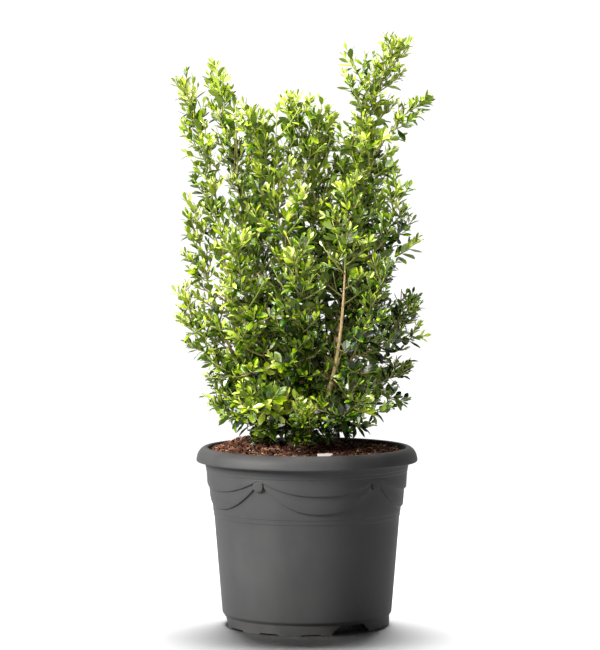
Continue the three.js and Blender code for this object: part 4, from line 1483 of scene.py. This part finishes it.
def leaf_places(spans, first, gap, leafy, rng):
    """Leaf nodes along shoots, from the tip down: node n stands 0.55 n^1.25 gaps below the tip.
    Returns for each node its curve, its share and its number from the tip."""
    number = np.arange(LEAF_NODES)
    back = NODE_GROWTH * number**NODE_POWER
    back = back + rng.uniform(-NODE_SPREAD, NODE_SPREAD, (len(spans), LEAF_NODES))
    back = TIP_GAP + np.maximum(0, back) * gap
    kept = back < (spans * (1 - first) * leafy)[:, None]
    which, step = np.nonzero(kept)
    share = 1 - back[which, step] / spans[which]
    return which, np.clip(share, *NODE_SHARES), step


def leaf_pairs(curves, which, share, step, vigour, sizes, rng):
    """Opposite leaves at each node, each pair turned a quarter from the one before. A leaf's way
    is t cos b + p sin b, where t is its shoot's way, p lies across it and b is its splay, and its
    face is a blend of inwards, up and out of the crown. Returns roots, ways, faces, lengths,
    width shares and light."""
    where = points_on(curves[which], share[:, None])[:, 0]
    stem = ways_on(curves[which], share[:, None])[:, 0]
    level = unit(np.cross(stem, NEARLY_UP))
    upright = np.cross(level, stem)
    roll = rng.uniform(-ROLL_SPREAD, ROLL_SPREAD, len(curves))[which] + step * np.pi / 2
    pair = level * np.cos(roll)[:, None] + upright * np.sin(roll)[:, None]
    out = unit(where * (1, 1, 0) + (1e-6, 0, 0))
    parts = []
    for hand in (-1, 1):
        grown = np.clip(step / YOUNG_NODES, 0, 1)
        splay = LEAF_SPLAY + GROWN_SPLAY * grown + rng.normal(0, SPLAY_SPREAD, len(which))
        splay = np.radians(splay)[:, None]
        way = stem * np.cos(splay) + pair * hand * np.sin(splay)
        way = unit(way + rng.normal(0, WAY_SPREAD, way.shape) + WAY_RISE)
        inner = stem * np.sin(splay) - pair * hand * np.cos(splay)
        face = inner * FACE_INWARDS + FACE_UP + out * FACE_OUTWARDS
        face = unit(across(face + rng.normal(0, FACE_SPREAD, way.shape), way))
        full = np.clip((step + SIZE_START) / SIZE_NODES, 0, 1)
        size = sizes * (YOUNG_SIZE + (1 - YOUNG_SIZE) * full)
        size = size * rng.uniform(*LEAF_SIZES, len(which))
        fresh = (vigour[which] > FRESH_VIGOUR) & (step < FRESH_NODES)
        light = light_at(where) + VIGOUR_LIGHT * vigour[which] + FRESH_LIGHT * fresh
        shade = NODE_SHADE * np.minimum(step, DARKEST_NODE)
        light = light - shade + rng.normal(0, LIGHT_SPREAD, len(which))
        slim = YOUNG_WIDTH + (1 - YOUNG_WIDTH) * grown
        parts.append((where + way * LEAF_STALK, way, face, size, slim, light))
    return [np.concatenate(part) for part in zip(*parts)]


def leaf_mesh(roots, ways, faces, length, width, fold, curl):
    """Closed blades: at each station u a left edge, a ridge above, a right edge and a ridge below,
    with the edges lifted by the fold, and the blade bent by curl x length x (u^2 - 0.35 u)."""
    side = np.cross(ways, faces)
    station, half = (np.array(part) for part in zip(*LEAF_STATIONS))
    rows = []
    for u, w in zip(station, half):
        along = (length * u)[:, None] * ways
        bend = (curl * length * (u**2 - LEAF_BEND * u))[:, None] * faces
        reach = (width * w / 2)[:, None]
        lift = reach * fold[:, None]
        thick = LEAF_THICKNESS / 2 * (LEAF_FOOT_THICK - LEAF_THINNING * u)
        middle = roots + along + bend
        rows += [
            middle - side * reach + faces * lift,
            middle + faces * thick,
            middle + side * reach + faces * lift,
            middle - faces * thick,
        ]
    tip = roots + ways * length[:, None] + (curl * length * (1 - LEAF_BEND))[:, None] * faces
    points = np.stack([roots, *rows, tip], axis=1)
    return points, *outward(points[0] - points[0, 0], *wrapped_faces(len(station), 4))


def blade_lines(indices, points_each):
    """The line of a blade that each point is on: 0 the left edge, 1 the ridge above, 2 the right
    edge, 3 the ridge below, and -1 where they meet at its foot and its tip."""
    return np.where(np.isin(indices, (0, points_each - 1)), -1, (indices - 1) % 4)


def under_faces(faces, points_each):
    """Which faces of the blade lie underneath: those that touch the ridge below."""
    return (blade_lines(faces, points_each) == 3).any(axis=1)


def face_shades(faces, points_each):
    """How much lighter than the blade's middle each face is, in steps of the leaf colours: the
    foot is darker, the tip lighter, and one half a little lighter than the other, as painted
    light on that half and painted shade on the other."""
    column = blade_lines(faces, points_each)
    along = faces.mean(axis=1) / (points_each - 1)
    half = (column == 2).any(axis=1) * 1.0 - (column == 0).any(axis=1)
    return LENGTH_SHADE * (along - 0.5) + PAINTED_HALF_SHADE * half


def mark_outline(mesh, points_each):
    """Sharp edges along a blade's outline and its upper midrib, so that thin leaves look thin."""
    pair = np.zeros(2 * len(mesh.edges), np.int32)
    mesh.edges.foreach_get("vertices", pair)
    pair = pair.reshape(-1, 2) % points_each
    column = blade_lines(pair, points_each)
    sharp = np.zeros(len(pair), bool)
    for kind in (0, 1, 2):
        fits = (column == kind) | (column == -1)
        sharp |= fits.all(axis=1)
    layer = mesh.attributes.get("sharp_edge") or mesh.attributes.new("sharp_edge", "BOOLEAN", "EDGE")
    layer.data.foreach_set("value", sharp)


def clear_of_front_stem(middles, front):
    """Which leaves leave the bare front stem in view and in the light: all whose middles stand
    further than a gap from every line that runs from the stem to the front or to the light."""
    path = points_on(front["curve"], np.linspace(*STEM_SEEN, STEM_SAMPLES))
    kept = np.ones(len(middles), bool)
    for way, gap in STEM_VIEWS:
        from_stem = middles[:, None] - path
        way = unit(np.array(way))
        before = from_stem @ way > STEM_BEHIND
        near = np.linalg.norm(across(from_stem, way), axis=-1) < gap
        kept &= ~(before & near).any(axis=1)
    return kept


def build_leaves(mass, settings, materials, front):
    """The leaves of one mass as one piece, each in a plain colour by its age, its vigour and the
    light at its place, which paints the crown's light and shade into the leaves.
    """
    rng = mass["rng"]
    row = mass["row"]
    found = []
    for i, (curves, spans, vigour, space) in enumerate([mass["stem"], *mass["groups"]]):
        gap, leafy, scale = LEAFING[0 if i == 0 else 2 - i % 2]
        first = row["wood"] if i == 0 else 0.0
        which, share, step = leaf_places(spans, first, gap * settings.leaf_gap, leafy, rng)
        parts = leaf_pairs(curves, which, share, step, vigour, settings.leaf_length * scale, rng)
        kept = space(parts[0] + parts[1] * parts[3][:, None])
        found.append([part[kept] for part in parts])
    parts = [np.concatenate(part) for part in zip(*found)]
    kept = clear_of_front_stem(parts[0] + parts[1] * parts[3][:, None] * LEAF_MIDDLE, front)
    roots, ways, faces, length, slim, light = (part[kept] for part in parts)
    count = len(roots)
    slim = settings.leaf_width * slim * rng.uniform(*LEAF_WIDTHS, count)
    fold = rng.normal(*LEAF_FOLD, count)
    curl = rng.normal(*LEAF_CURL, count)
    points, quads, caps = leaf_mesh(roots, ways, faces, length, length * slim, fold, curl)
    classes = len(LEAF_COLOURS)
    # Colour step of each leaf: its age and vigour, with painted light and shade from light_at
    shade = (light * classes * COLOURS_PER_LIGHT + settings.lime_shift)[:, None]
    under = classes + (shade >= classes - 3)
    points_each = points.shape[1]
    faces = []
    slots = []
    for part in (quads, caps):
        upper = np.clip(np.floor(shade + face_shades(part, points_each)), 0, classes - 1)
        slots.append(np.where(under_faces(part, points_each), under, upper).ravel())
        faces.append(repeated(part, count, points_each))
    slots = np.concatenate(slots).astype(int)
    piece = new_piece("leaves_" + row["name"], (points, *faces), materials, slots)
    mark_outline(piece.data, points_each)
    dress(piece, "foliage", "foliage_" + row["name"])
    return count


def twig_kinds(curves, rng):
    """Old, olive, tan or young bark for each curve, by the light at its middle: partly the twig's
    age, partly painted light and shade.
    """
    light = light_at(points_on(curves, np.full((len(curves), 1), 0.5))[:, 0]) - TWIG_SHADE
    light = light + rng.normal(0, TWIG_LIGHT_SPREAD, len(curves))
    return np.digitize(light, TWIG_LIGHT)


def build_twigs(mass, materials):
    """The stem, side shoots and twigs of one mass as one piece."""
    row, rng = mass["row"], mass["rng"]
    root_r = row["r"] * (1 - WOOD_TAPER)
    first = row["wood"] - LEADER_OVERLAP if row["wood"] else 0.0
    shares = np.linspace(first, LEADER_END, LEADER_RINGS)
    taper = np.linspace(0, 1, LEADER_RINGS) ** LEADER_TAPER_POWER
    radii = root_r + (LEADER_TIP_R - root_r) * taper
    skins = [tubes(points_on(row["curve"], shares)[None], radii[None], LEADER_SIDES)]
    ring = (np.arange(len(skins[0][1])) // LEADER_SIDES) / LEADER_RINGS
    kinds = np.digitize(ring, LEADER_CHANGES)
    quad_slots = [np.where((kinds == 0) & (row["name"] == BARE_STEM), len(TWIG_COLOURS) - 1, kinds)]
    cap_slots = [np.repeat((0, 3), len(skins[0][2]) // 2)]
    for i, (curves, _, _, _) in enumerate(mass["groups"]):
        rings, sides, ends = SHOOT_TUBES[i % 2]
        shares = np.broadcast_to(np.linspace(0, 1, rings), (len(curves), rings))
        radii = np.broadcast_to(np.linspace(*ends, rings), shares.shape)
        skin = tubes(points_on(curves, shares), radii, sides)
        kinds = twig_kinds(curves, rng)
        skins.append(skin)
        quad_slots.append(np.repeat(kinds, len(skin[1]) // len(curves)))
        cap_slots.append(np.repeat(kinds, len(skin[2]) // len(curves)))
    slots = np.concatenate(quad_slots + cap_slots)
    piece = new_piece("twigs_" + row["name"], joined(skins), materials, slots)
    dress(piece, "bark", "foliage_" + row["name"])


def build_limb(row, rows, material):
    """One stem or bough with ridged bark, swollen where others leave it. Its radius is
    r (1 - 0.55 s) (1 + ridges + cracks + swellings), s being the share of its length. A ridge is
    sin(n a + d y + p + w sin(k y)) / n at an azimuth a and a run y along the limb."""
    length = row["length"] * row["wood"]
    rings = max(FEWEST_LIMB_RINGS, round(length / LIMB_RING_STEP))
    shares = np.linspace(0, 1, rings)
    path = points_on(row["curve"], shares * row["wood"])[None]
    run, around = np.meshgrid(shares * length, full_turn(LIMB_SIDES), indexing="ij")
    rng = np.random.default_rng(BARK_SEED + row["index"])
    relief = np.zeros_like(run)
    for number in BARK_RIDGES:
        drift = rng.uniform(-RIDGE_DRIFT, RIDGE_DRIFT)
        phase = rng.uniform(0, 2 * np.pi)
        wander = np.sin(run * rng.uniform(*WANDER_WAVES) + rng.uniform(*WANDER_PHASES))
        wander = RIDGE_WANDER * wander
        relief += np.sin(number * around + drift * run + phase + wander) / number
    cracks = ripple(run, around * row["r"], CRACK_LENGTH, SEED + row["index"])
    relief = RIDGE_RELIEF * relief + RIPPLE_RELIEF * cracks
    swelling = np.zeros_like(run)
    for other in rows:
        if other.get("parent") == row["name"]:
            off = (run - other["at"] * length) / (SWELLING_REACH * row["r"])
            swelling += SWELLING * np.exp(-0.5 * off**2)
    radii = row["r"] * (1 - WOOD_TAPER * shares)[:, None] * (1 + relief + swelling)
    skin = tubes(path, radii[None], LIMB_SIDES)
    piece = new_piece("bark_" + row["name"], skin, [material])
    dress(piece, "bark", "stem_" + row["name"])


def build_crown(material):
    """The root crown: the frame's flared profile times 1 + f (lobes - 0.10) + cracks, where the
    lobes under the stems are 0.10 cos(5a + 0.6) + 0.05 cos(8a + 2.1 + 60 z) at an azimuth a and
    a height z, and f falls from 1 to 1/2 at the top."""
    height = np.linspace(0, CROWN_PROFILE[-1][1], CROWN_RINGS)
    r = np.interp(height, [z for _, z in CROWN_PROFILE], [r for r, _ in CROWN_PROFILE])
    lift, turn = np.meshgrid(height, full_turn(CROWN_COLUMNS), indexing="ij")
    fade = 1 - lift / height[-1] * 0.5
    lobes = sum(
        size * np.cos(number * turn + phase + drift * lift)
        for size, number, phase, drift in CROWN_LOBES
    )
    cracks = RIPPLE_RELIEF * ripple(turn * CROWN_CRACK_R, lift, CROWN_CRACK_LENGTH, CROWN_SEED)
    radius = r[:, None] * (1 + fade * (lobes - CROWN_INSET) + cracks)
    rows = turned(radius, lift, turn) + np.array(CROWN)
    top = np.array(CROWN) + (0, 0, height[-1] + CROWN_CAP)
    skin = closed_skin(np.array(CROWN), rows, top)
    piece = new_piece("bark_root_crown", skin, [material])
    dress(piece, "bark", "root_crown")


# Stage


def studio_world(back, front):
    """White surroundings: they light the plant from behind, hardly from the front, and look
    white from every side."""
    world = bpy.data.worlds.new("studio")
    world.use_nodes = True
    tree = world.node_tree
    place = add_node(tree, "ShaderNodeTexCoord")
    parts = add_node(tree, "ShaderNodeSeparateXYZ", {"Vector": place.outputs["Generated"]})
    lit = levels(tree, parts.outputs["Y"], *SKY_FADE, front, back)
    ray = add_node(tree, "ShaderNodeLightPath")
    seen = levels(tree, ray.outputs["Is Camera Ray"], 0, 1, 0.0, back)
    strength = add_node(tree, "ShaderNodeMath", {0: lit, 1: seen}, operation="MAXIMUM").outputs[0]
    sky = tree.nodes["Background"]
    sky.inputs["Color"].default_value = (1.0, 1.0, 1.0, 1.0)
    tree.links.new(strength, sky.inputs["Strength"])
    return world


def pieces_named(label, starts):
    """A collection, for the lights alone, of the pieces whose names start with one of these."""
    group = bpy.data.collections.new(label)
    for piece in bpy.context.scene.objects:
        if piece.type == "MESH" and piece.name.startswith(starts):
            group.objects.link(piece)
    return group


def hang_lamp(name, power, azimuth, elevation, distance, size, receivers, blockers):
    """A square area light at an azimuth and an elevation in degrees, turned to the plant. It lights
    only the pieces whose names start with its receivers, and only blockers, if any, shade them."""
    light = bpy.data.lights.new(name, "AREA")
    light.size = size
    light.energy = power
    light.color = FLOOR_LAMP_COLOUR if receivers == ("floor",) else LAMP_COLOUR
    lamp = bpy.data.objects.new(name, light)
    turn, rise = math.radians(azimuth), math.radians(elevation)
    away = Vector((
        math.sin(turn) * math.cos(rise),
        -math.cos(turn) * math.cos(rise),
        math.sin(rise),
    ))
    lamp.location = LAMP_AIM + away * distance
    lamp.rotation_euler = away.to_track_quat("Z", "Y").to_euler()
    lamp.light_linking.receiver_collection = pieces_named("lit by " + name, receivers)
    if blockers:
        lamp.light_linking.blocker_collection = pieces_named("shaded from " + name, blockers)
    bpy.context.scene.collection.objects.link(lamp)


def build_stage(settings):
    """A pale floor, a white sky, soft lights with the keys on the left, and the camera. The keys
    leave the floor out, so that the pot stands in its own soft shadow only."""
    scene = bpy.context.scene
    floor_material = new_material("floor", settings.floor_colour, 0.9)[0]
    bpy.ops.mesh.primitive_circle_add(vertices=FLOOR_SIDES, radius=FLOOR_R, fill_type="NGON")
    floor = bpy.context.object
    floor.name = "floor"
    floor.data.materials.append(floor_material)
    scene.world = studio_world(settings.sky, settings.sky_front)
    for name, place in LAMPS.items():
        hang_lamp(name + " light", getattr(settings, name + "_power"), *place)
    lens = bpy.data.cameras.new("camera")
    lens.lens = settings.lens
    camera = bpy.data.objects.new("camera", lens)
    camera.location = CAMERA_PLACE
    look = Vector(CAMERA_AIM) - Vector(CAMERA_PLACE)
    camera.rotation_euler = look.to_track_quat("-Z", "Y").to_euler()
    scene.collection.objects.link(camera)
    scene.camera = camera
    scene.view_settings.view_transform = "Standard"


# Add-on: settings, operators and panel


def number(name, description, default, low, high):
    """A whole number between two limits."""
    return bpy.props.IntProperty(
        name=name, description=description, default=default, min=low, max=high
    )


def measure(name, description, default, **kind):
    """A number with its unit or subtype and its limits."""
    return bpy.props.FloatProperty(name=name, description=description, default=default, **kind)


def tint(name, description, default):
    """An sRGB colour."""
    return bpy.props.FloatVectorProperty(
        name=name, description=description, default=default,
        size=3, subtype="COLOR_GAMMA", min=0, max=1,
    )


class SHRUB_PG_pot(bpy.types.PropertyGroup):
    """Settings of the pot and the label."""

    columns: number("Columns", "Faces round the pot", 432, 64, 960)
    colour: tint("Colour", "Colour of the plastic", (0.224, 0.224, 0.227))
    label_colour: tint("Label", "Colour of the blank label", (0.77, 0.74, 0.73))


class SHRUB_PG_mulch(bpy.types.PropertyGroup):
    """Settings of the bark mulch."""

    chips: number("Chips", "Number of bark chips", 6800, 100, 9000)
    fibres: number("Fibres", "Number of torn bark fibres", 1500, 10, 4000)
    chip_length: measure("Chip length", "Usual length of a chip", 0.0062, unit="LENGTH")
    # The bed's dark colour is partly the fine stuff's own brown, partly painted shade in the gaps
    # between the chips
    colour: tint("Bed", "Colour of the fine stuff between the chips", (0.20, 0.11, 0.075))


class SHRUB_PG_plant(bpy.types.PropertyGroup):
    """Settings of the shrub."""

    shoot_step: measure(
        "Shoot step", "Distance between side shoots along a stem", 0.0080, unit="LENGTH"
    )
    leaf_length: measure("Leaf length", "Length of a full-grown leaf", 0.0184, unit="LENGTH")
    leaf_width: measure(
        "Leaf width", "Width of a leaf as a share of its length", 0.48, subtype="FACTOR"
    )
    leaf_gap: measure("Leaf gap", "Distance between pairs of leaves", 0.0100, unit="LENGTH")
    lime_shift: measure(
        "New growth", "Moves every leaf this many colours towards the new growth", 0.0
    )
    bark_young: tint("Young bark", "Colour of the ridges of the bark", (0.88, 0.77, 0.57))
    bark_old: tint("Old bark", "Colour of the streaks in the bark", (0.70, 0.59, 0.42))


class SHRUB_PG_stage(bpy.types.PropertyGroup):
    """Settings of the floor, lights and camera."""

    floor_colour: tint("Floor", "Colour of the floor", (0.99, 0.99, 0.99))
    sky: measure("Sky", "Strength of the white surroundings behind", 1.08, min=0)
    sky_front: measure("Sky in front", "Strength of the surroundings in front", 0.02, min=0)
    top_power: measure("Top light", "Power of the light above", 100.0, unit="POWER")
    pot_power: measure("Pot light", "Power of the light on the pot", 178.0, unit="POWER")
    plant_power: measure("Plant light", "Power of the light on the plant", 154.0, unit="POWER")
    fill_power: measure("Fill light", "Power of the light before the plant", 92.0, unit="POWER")
    low_power: measure("Low light", "Power of the light before the foot", 4.0, unit="POWER")
    floor_power: measure("Floor light", "Power of the light on the floor", 172.0, unit="POWER")
    lens: measure("Lens", "Focal length of the camera", 159.4, unit="CAMERA")


class SHRUB_OT_pot(bpy.types.Operator):
    """Builds the pot with its swags, knobs, notches and drains"""

    bl_idname = "shrub.pot"
    bl_label = "Pot"

    def execute(self, context):
        settings = context.scene.shrub_pot
        build_pot(settings.columns, tuple(settings.colour))
        return {"FINISHED"}


class SHRUB_OT_mulch(bpy.types.Operator):
    """Builds the bed of mulch and the bark chips on it"""

    bl_idname = "shrub.mulch"
    bl_label = "Bark mulch"

    def execute(self, context):
        settings = context.scene.shrub_mulch
        build_mulch(tuple(settings.colour))
        build_chips(settings.chips, settings.chip_length)
        build_fibres(settings.fibres)
        return {"FINISHED"}


class SHRUB_OT_label(bpy.types.Operator):
    """Builds the blank label that stands in the mulch"""

    bl_idname = "shrub.label"
    bl_label = "Label"

    def execute(self, context):
        build_label(tuple(context.scene.shrub_pot.label_colour))
        return {"FINISHED"}


class SHRUB_OT_stems(bpy.types.Operator):
    """Builds the root crown, the stems and the boughs with the relief of their bark"""

    bl_idname = "shrub.stems"
    bl_label = "Stems"

    def execute(self, context):
        settings = context.scene.shrub_plant
        rows = growth_plan()
        material = bark_material(tuple(settings.bark_young), tuple(settings.bark_old))
        build_crown(material)
        for row in rows:
            if row["wood"]:
                build_limb(row, rows, material)
        return {"FINISHED"}


class SHRUB_OT_foliage(bpy.types.Operator):
    """Grows the shoots, twigs and leaves of every mass"""

    bl_idname = "shrub.foliage"
    bl_label = "Foliage"

    def execute(self, context):
        settings = context.scene.shrub_plant
        rows = growth_plan()
        front = next(row for row in rows if row["name"] == BARE_STEM)
        leaf_materials = plain_materials(LEAF_COLOURS + UNDERSIDE_COLOURS, LEAF_GLOSS)
        twig_materials = plain_materials(TWIG_COLOURS)
        total = 0
        for row in rows:
            mass = grow_mass(row, rows, settings.shoot_step)
            build_twigs(mass, twig_materials)
            total += build_leaves(mass, settings, leaf_materials, front)
        print("leaves:", total)
        return {"FINISHED"}


class SHRUB_OT_stage(bpy.types.Operator):
    """Sets up the floor, the lights and the camera"""

    bl_idname = "shrub.stage"
    bl_label = "Stage"

    def execute(self, context):
        build_stage(context.scene.shrub_stage)
        return {"FINISHED"}


class SHRUB_PT_panel(bpy.types.Panel):
    """Lists the pieces of the shrub"""

    bl_idname = "SHRUB_PT_panel"
    bl_label = "Potted shrub"
    bl_space_type = "VIEW_3D"
    bl_region_type = "UI"
    bl_category = "Shrub"

    def draw(self, context):
        for step in OPERATORS:
            self.layout.operator(step.bl_idname)
        for name, _ in SETTINGS:
            group = getattr(context.scene, name)
            box = self.layout.box()
            for key in group.bl_rna.properties.keys():
                if key not in ("rna_type", "name"):
                    box.prop(group, key)


SETTINGS = (
    ("shrub_pot", SHRUB_PG_pot),
    ("shrub_mulch", SHRUB_PG_mulch),
    ("shrub_plant", SHRUB_PG_plant),
    ("shrub_stage", SHRUB_PG_stage),
)
OPERATORS = (
    SHRUB_OT_pot,
    SHRUB_OT_mulch,
    SHRUB_OT_label,
    SHRUB_OT_stems,
    SHRUB_OT_foliage,
    SHRUB_OT_stage,
)


def register():
    """Adds the settings to the scene and makes the operators and the panel known."""
    for name, group in SETTINGS:
        bpy.utils.register_class(group)
        setattr(bpy.types.Scene, name, bpy.props.PointerProperty(type=group))
    for kind in (*OPERATORS, SHRUB_PT_panel):
        bpy.utils.register_class(kind)


def unregister():
    """Takes back all that register added."""
    for kind in (SHRUB_PT_panel, *reversed(OPERATORS)):
        bpy.utils.unregister_class(kind)
    for name, group in reversed(SETTINGS):
        delattr(bpy.types.Scene, name)
        bpy.utils.unregister_class(group)


def main():
    """Builds every piece in order."""
    register()
    bpy.ops.shrub.pot()
    bpy.ops.shrub.mulch()
    bpy.ops.shrub.label()
    bpy.ops.shrub.stems()
    bpy.ops.shrub.foliage()
    bpy.ops.shrub.stage()


if __name__ == "__main__":
    main()
